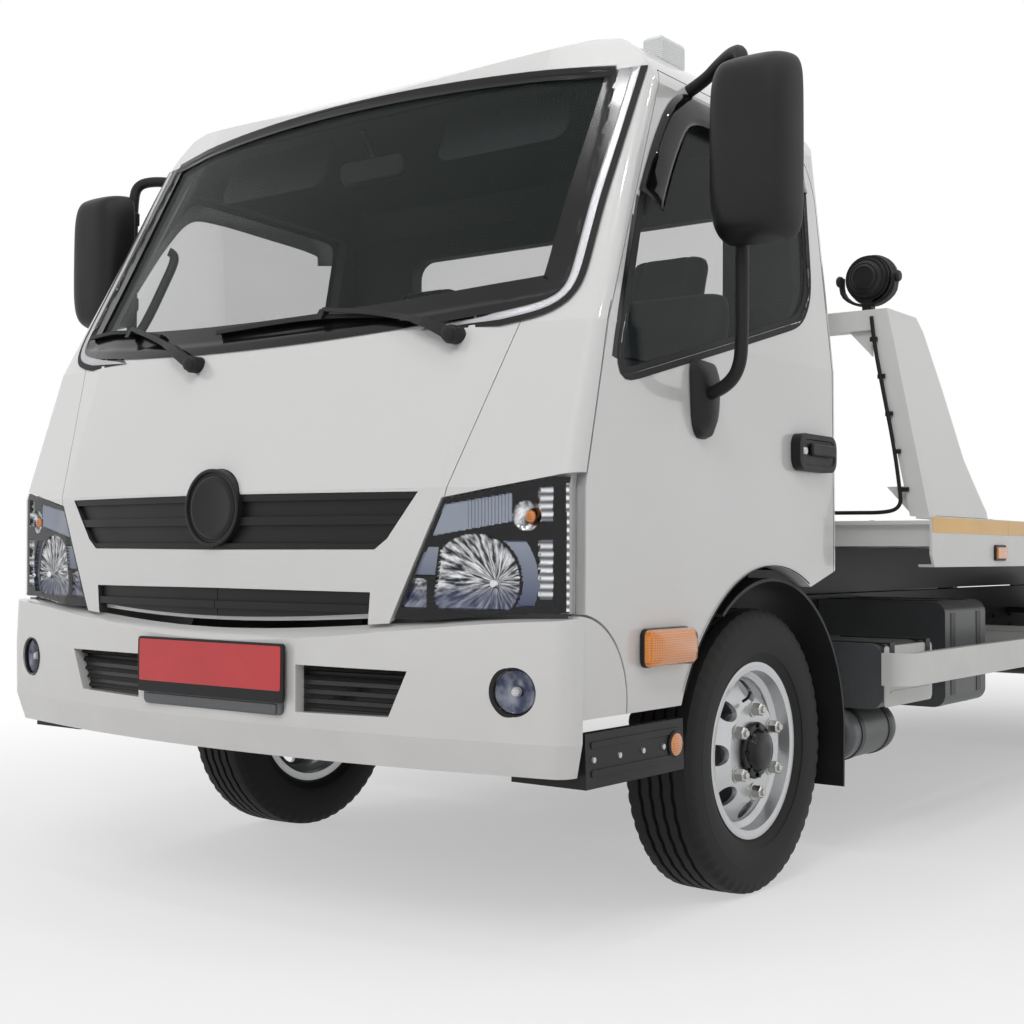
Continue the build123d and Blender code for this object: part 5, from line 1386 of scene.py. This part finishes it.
# %% Platform
tape_yellow = Finish("reflective_yellow_tape")
cells = tape_yellow.node("ShaderNodeTexVoronoi", {}, {"Vector": tape_yellow.place, "Scale": 240.0})
faded = tape_yellow.spread(tape_yellow.noise(3.0, 4.0), 0.35, 0.7)
tape_yellow.look(Base_Color=tape_yellow.blend(faded, tone(0.80, 0.42, 0.020), tone(0.68, 0.36, 0.035)),
                 Roughness=0.34, Coat_Weight=0.5)
tape_yellow.bumps(cells, 0.0006, 0.4)
RAIL_X, DECK_FRONT, PLATE_TOP = 1160, 640, 1017
TAPE_LENGTH, TAPE_GAP, TAPE_WIDTH = 674, 3, 46
LASHING_X, LASHING_STEPS = 1060, 20
STUD_ROWS, STUD_COLUMNS, STUD_PITCH = 118, 5, 39
for side, hand in SIDES:
    lengths = []
    for k in range(8):
        start = DECK_FRONT + 2 + TAPE_LENGTH * k
        middle = start + (TAPE_LENGTH - TAPE_GAP) / 2
        strip = [at(side * RAIL_X, y, z)
                 for y, z in rounded(middle, 1004, TAPE_LENGTH - TAPE_GAP, TAPE_WIDTH, 4, 3)]
        lengths.append(plate(strip, (side * 0.0012, 0, 0)))
    add_piece(f"rail_tape_{hand}", together(*lengths), tape_yellow, "deck")
    bases = [loft([[at(side * (RAIL_X + depth), y + u, 922 + v) for u, v in rounded(0, 0, 106, 52, 10)]
                   for depth in (0.2, 7)])
             for y in (1229, 2300, 3400, 4500, 5560)]
    add_piece(f"marker_base_{hand}", together(*bases), black_plastic, "deck", 0.002)
    rings, seats, x = [], [], side * LASHING_X
    for y in (1350, 2250, 3150, 4050, 4950, 5700):
        seats.append(plate([at(x + u, y + v, PLATE_TOP) for u, v in rounded(0, 0, 84, 60, 12)], (0, 0, 0.006)))
        hoop = []
        for k in range(LASHING_STEPS):
            turn = 2 * pi * k / LASHING_STEPS
            hoop.append(at(x + 34 * cos(turn), y + 30 * sin(turn), PLATE_TOP + 12.5))
        for near, far in zip(hoop, hoop[1:] + hoop[:1]):
            way = far - near
            rings.append(lathe([(0, 0.0065), (way.length, 0.0065)], near, way.normalized(), 10, False))
        seats.append(block(at(x - 9, y + 16, PLATE_TOP + 5), at(x + 9, y + 40, PLATE_TOP + 21)))
    add_piece(f"lashing_seats_{hand}", together(*seats), zinc, "deck", 0.0015)
    add_piece(f"lashing_rings_{hand}", together(*rings), zinc, "deck", sharp=80)
    studs = []
    for k in range(STUD_ROWS):
        for c in range(STUD_COLUMNS):
            spot = at(side * (560 + 75 * c), 1290 + STUD_PITCH * (k + 0.5 * (c % 2)), PLATE_TOP)
            studs.append(lathe([(0.0, 0.011), (0.004, 0.007), (0.0045, 0.0)], spot, (0, 0, 1), 8, False))
    add_piece(f"deck_studs_{hand}", together(*studs), deck_paint, "deck", sharp=60)
bolt_head = [(0.0, 0.0095), (0.0022, 0.008), (0.003, 0.004), (0.003, 0.0)]
bolts = [lathe(bolt_head, at(x, y, PLATE_TOP), (0, 0, 1), 12, False)
         for y in (690, 1280, 1860, 2440, 3020, 3600, 4180, 4780, 5380, 5900)
         for x in (-950, -430, -180, 180, 430, 950)]
add_piece("deck_bolts", together(*bolts), zinc, "deck")
lip_line = ((-1100, 6036, 0), (1100, 6036, 0), (1100, 5960, 6), (-1100, 5960, 6))
lip = plate([at(x, y, PLATE_TOP + rise) for x, y, rise in lip_line], (0, 0, -0.004))
add_piece("tail_wear_plate", lip, cast_metal, "deck", 0.001)
print("platform ready")

# %% [markdown]
# ## Headboard, work lamps and winch
# The lamps' wiring runs along the foot of the headboard and up the inside of its left leg in small
# clips. Each work lamp has a bowl, a ribbed lens and a fork bracket, and wire rope lies in close turns
# on the winch drum.

# %% Headboard
wire_path = ((-900, 636, 1046), (-300, 635, 1043), (300, 635, 1044), (900, 635, 1042), (1030, 635, 1041),
             (1066, 636, 1062), (1062, 636, 1110), (1044, 636, 1240), (1012, 636, 1400), (980, 636, 1560),
             (972, 637, 1640))
wire = [at(*spot) for spot in wire_path]
rod("lamp_wiring", wire, 0.006, seal_rubber, "deck", 1)
clips = []
for z in (1110, 1225, 1340, 1455, 1570):
    x = 1095 - (z - 1030) * 122 / 570
    clips.append(block(at(x - 12, 632, z - 7), at(x + 12, 641, z + 7)))
for x in (-800, -400, 0, 400, 800):
    clips.append(block(at(x - 8, 630, 1032), at(x + 8, 641, 1052)))
add_piece("wiring_clips", together(*clips), black_plastic, "deck", 0.002)
corners = []
for side, hand in SIDES:
    for x0, z0, x1, z1, z2 in ((1092, 1031, 1010, 1120, 1121), (965, 1600, 890, 1600, 1520),
                               (495, 1600, 430, 1600, 1520), (545, 1600, 610, 1600, 1520)):
        tri = [at(side * x0, 662, z0), at(side * x1, 662, z1), at(side * x0, 662, z2)]
        corners.append(plate(tri, (0, 0.008, 0)))
add_piece("headboard_gussets", together(*corners), deck_paint, "deck", 0.001)
print("headboard ready")

# %% [markdown]
# The work lamps are turned from short sections: a lens, a rim and cooling fins. A flat fork bent under
# the lamp carries it on two knobs.

# %% Work lamps
for side, hand in SIDES:
    lamp = at(side * 949, DECK_FRONT + 30, 1762)
    face = lathe([(0.040, 0.069), (0.046, 0.066), (0.052, 0.045), (0.054, 0.0)], lamp, (0, 1, 0), 40, False)
    add_piece(f"work_lamp_lens_{hand}", face, white_lens, "deck")
    rim = lathe([(0.036, 0.070), (0.046, 0.069), (0.049, 0.073), (0.046, 0.0795), (0.030, 0.0795)], lamp,
                (0, 1, 0), 40)
    fins = [lathe([(at_y, 0.030), (at_y, reach), (at_y + 0.004, reach), (at_y + 0.004, 0.030)], lamp, (0, 1, 0), 40)
            for at_y, reach in ((-0.040, 0.044), (-0.028, 0.060), (-0.014, 0.070), (0.002, 0.074))]
    add_piece(f"work_lamp_rim_{hand}", together(rim, *fins), black_plastic, "deck", sharp=30)
    arch = []
    for k in range(13):
        turn = pi + pi * k / 12
        arch.append(lamp + Vector((0.090 * cos(turn), 0, 0.062 * sin(turn) - 0.024)))
    ends = [lamp + Vector((-0.090, 0, 0.006))] + arch + [lamp + Vector((0.090, 0, 0.006))]
    outline = ends + [p + Vector((0.006 if p.x < lamp.x else -0.006, 0, 0.006)) for p in ends[::-1]]
    add_piece(f"work_lamp_fork_{hand}", plate([p + Vector((0, -0.016, 0)) for p in outline], (0, 0.032, 0)),
              black_plastic, "deck", 0.001)
    knobs = [lathe([(0, 0.0), (0, 0.016), (0.008, 0.018), (0.014, 0.014), (0.015, 0.0)],
                   lamp + Vector((turn * 0.088, 0, 0)), (turn, 0, 0), 16, False) for turn in (-1, 1)]
    add_piece(f"work_lamp_knobs_{hand}", together(*knobs), black_plastic, "deck")
print("work lamps ready")

# %% [markdown]
# The rope's close turns are one wavy section turned about the drum, which shows the grooves between the
# turns without a long coil of wire.

# %% Winch
turns, DRUM = 26, at(0, 910, PLATE_TOP + 105)
coil = []
for k in range(turns * 8 + 1):
    swell = 0.0065 * abs(sin(pi * k / 8))
    coil.append((-0.184 + 0.368 * k / (turns * 8), 0.064 + swell))
add_piece("winch_rope", lathe(coil, DRUM, (1, 0, 0), 48, False), zinc, "deck", sharp=80)
cheeks = [lathe([(x, 0.058), (x, 0.088), (x + 0.008, 0.088), (x + 0.008, 0.058)], DRUM, (1, 0, 0), 48)
          for x in (-0.189, 0.181)]
heads = [lathe([(0.0, 0.0), (0.0, 0.010), (0.008, 0.010), (0.0085, 0.0)],
               DRUM + Vector((0.300, 0.034 * cos(t), 0.034 * sin(t))), (1, 0, 0), 6, False)
         for t in [2 * pi * k / 6 for k in range(6)]]
add_piece("winch_cheeks", together(*cheeks, *heads), cast_metal, "deck", 0.0008)
print("winch ready")

# %% [markdown]
# ## Tail and chassis
# Tail lamps are one moulding with red, amber and clear fields behind thin black dividers. Along the
# frame are the bolts of the cross members, tank straps, a filler cap and the battery box's cover.

# %% Tail and chassis
RAIL_BOLT = [(0, 0.0), (0.0, 0.0115), (0.003, 0.0115), (0.003, 0.009), (0.011, 0.009), (0.012, 0.0)]
RAIL_BOLT_Y = (-900, -700, 520, 640, 760, 1180, 1420, 1660, 1900, 2140, 2380, 2640, 2880, 3100, 3330, 3560, 4100,
               4340, 4600, 4840)
for side, hand in SIDES:
    for name, x, width, finish, slot in (("turn", 1003, 62, amber_lens, "lamp_amber"),
                                         ("stop", 910, 116, red_lens, "lamp_red"),
                                         ("reverse", 815, 62, white_lens, "lamp_clear")):
        flat = rounded(0, 0, width, 84, 8)
        rows = [[at(side * x + u, 5134, 555 + v) for u, v in flat],
                [at(side * x + 0.97 * u, 5141, 555 + 0.97 * v) for u, v in flat],
                [at(side * x + 0.8 * u, 5144, 555 + 0.8 * v) for u, v in flat]]
        add_piece(f"tail_{name}_{hand}", loft(rows), finish, "chassis")
    case = [at(side * 910 + u, 5096, 555 + v) for u, v in rounded(0, 0, 268, 104, 12)]
    add_piece(f"tail_case_{hand}", plate(case, (0, 0.034, 0)), black_plastic, "chassis", 0.003)
    heads = [lathe(RAIL_BOLT, at(side * 420, y, z), (side, 0, 0), 6, False)
             for y in RAIL_BOLT_Y for z in (520, 575, 630)]
    add_piece(f"rail_bolts_{hand}", together(*heads), frame_black, "chassis")
    clamps = []
    for y in (wheel_y + step for wheel_y in (0, WHEELBASE) for step in (-46, 46)):
        x, z0, z1 = (385, 262, 376) if y < 1000 else (475, 316, 512)
        for turn in (-36, 36):
            clamps.append(lathe([(0.0, 0.0), (0.0, 0.008), ((z1 - z0) / 1000, 0.008), ((z1 - z0) / 1000, 0.0)],
                                at(side * (x + turn), y, z0), (0, 0, 1), 12, False))
        clamps.append(block(at(side * x - 44, y - 9, z1 - 8), at(side * x + 44, y + 9, z1 + 4)))
    add_piece(f"spring_clamps_{hand}", together(*clamps), cast_metal, "chassis", 0.001)
print("tail lamps, bolts and clamps ready")

# %% [markdown]
# The tanks are held by flat straps, and the battery box has a ribbed cover under two more. The air tank's
# bands and the muffler's seams are thin rings turned about the drums.

# %% Tanks and battery
STRAP_HALF = 22
straps = []
for x0, x1, y, z0, z1 in ((422, 900, 1510, 381, 750), (422, 900, 1765, 381, 750), (-900, -422, 900, 390, 720),
                          (-900, -422, 1420, 390, 720)):
    inner, outer, face = (x0 + 10, x1 - 45, x1) if x1 > 0 else (x0 + 45, x1 - 10, x0 - 2)
    y0, y1 = y - STRAP_HALF, y + STRAP_HALF
    straps.append(block(at(face, y0, z0 + 40), at(face + 2, y1, z1 - 40)))
    straps.append(block(at(inner, y0, z1), at(outer, y1, z1 + 2.5)))
    straps.append(block(at(inner, y0, z0 - 2.5), at(outer, y1, z0)))
add_piece("tank_straps", together(*straps), frame_black, "chassis", 0.0008)
cap = lathe([(-0.01, 0.034), (0.012, 0.034), (0.014, 0.046), (0.030, 0.046), (0.034, 0.040), (0.035, 0.0)],
            at(-896, 1180, 640), (-1, 0, 0.35), 28, False)
add_piece("filler_cap", cap, black_plastic, "chassis", sharp=30)
cover = [loft([[at(985.5 + depth, 885 + u, 540 + v) for u, v in rounded(0, 0, 380 - shrink, 188 - shrink, 16)]
               for depth, shrink in ((0, 0), (5, 2), (8, 12))])]
cover += [plate([at(993.5, 885 + u, z + v) for u, v in rounded(0, 0, 320, 10, 4)], (0.003, 0, 0))
          for z in (490, 540, 590)]
add_piece("battery_cover", together(*cover), deck_paint, "chassis", 0.001)
hold = [block(at(x0, y, z0), at(x1, y + 36, 644))
        for x0, x1, z0 in ((700, 990, 640), (986, 996, 600)) for y in (720, 1010)]
add_piece("battery_straps", together(*hold), frame_black, "chassis", 0.001)
bands = [lathe([(0, 0.0835), (0, 0.087), (0.026, 0.087), (0.026, 0.0835)], at(820, y, 355.7), (0, 1, 0), 40)
         for y in (720, 930)]
add_piece("air_tank_bands", together(*bands), frame_black, "chassis")
seams = [lathe([(0, 0.0915), (0, 0.0955), (0.018, 0.0955), (0.018, 0.0915)], at(-600, y, 560), (0, 1, 0), 40)
         for y in (2050, 2270, 2490)]
add_piece("muffler_seams", together(*seams), cast_metal, "chassis")
print("tanks and battery ready")
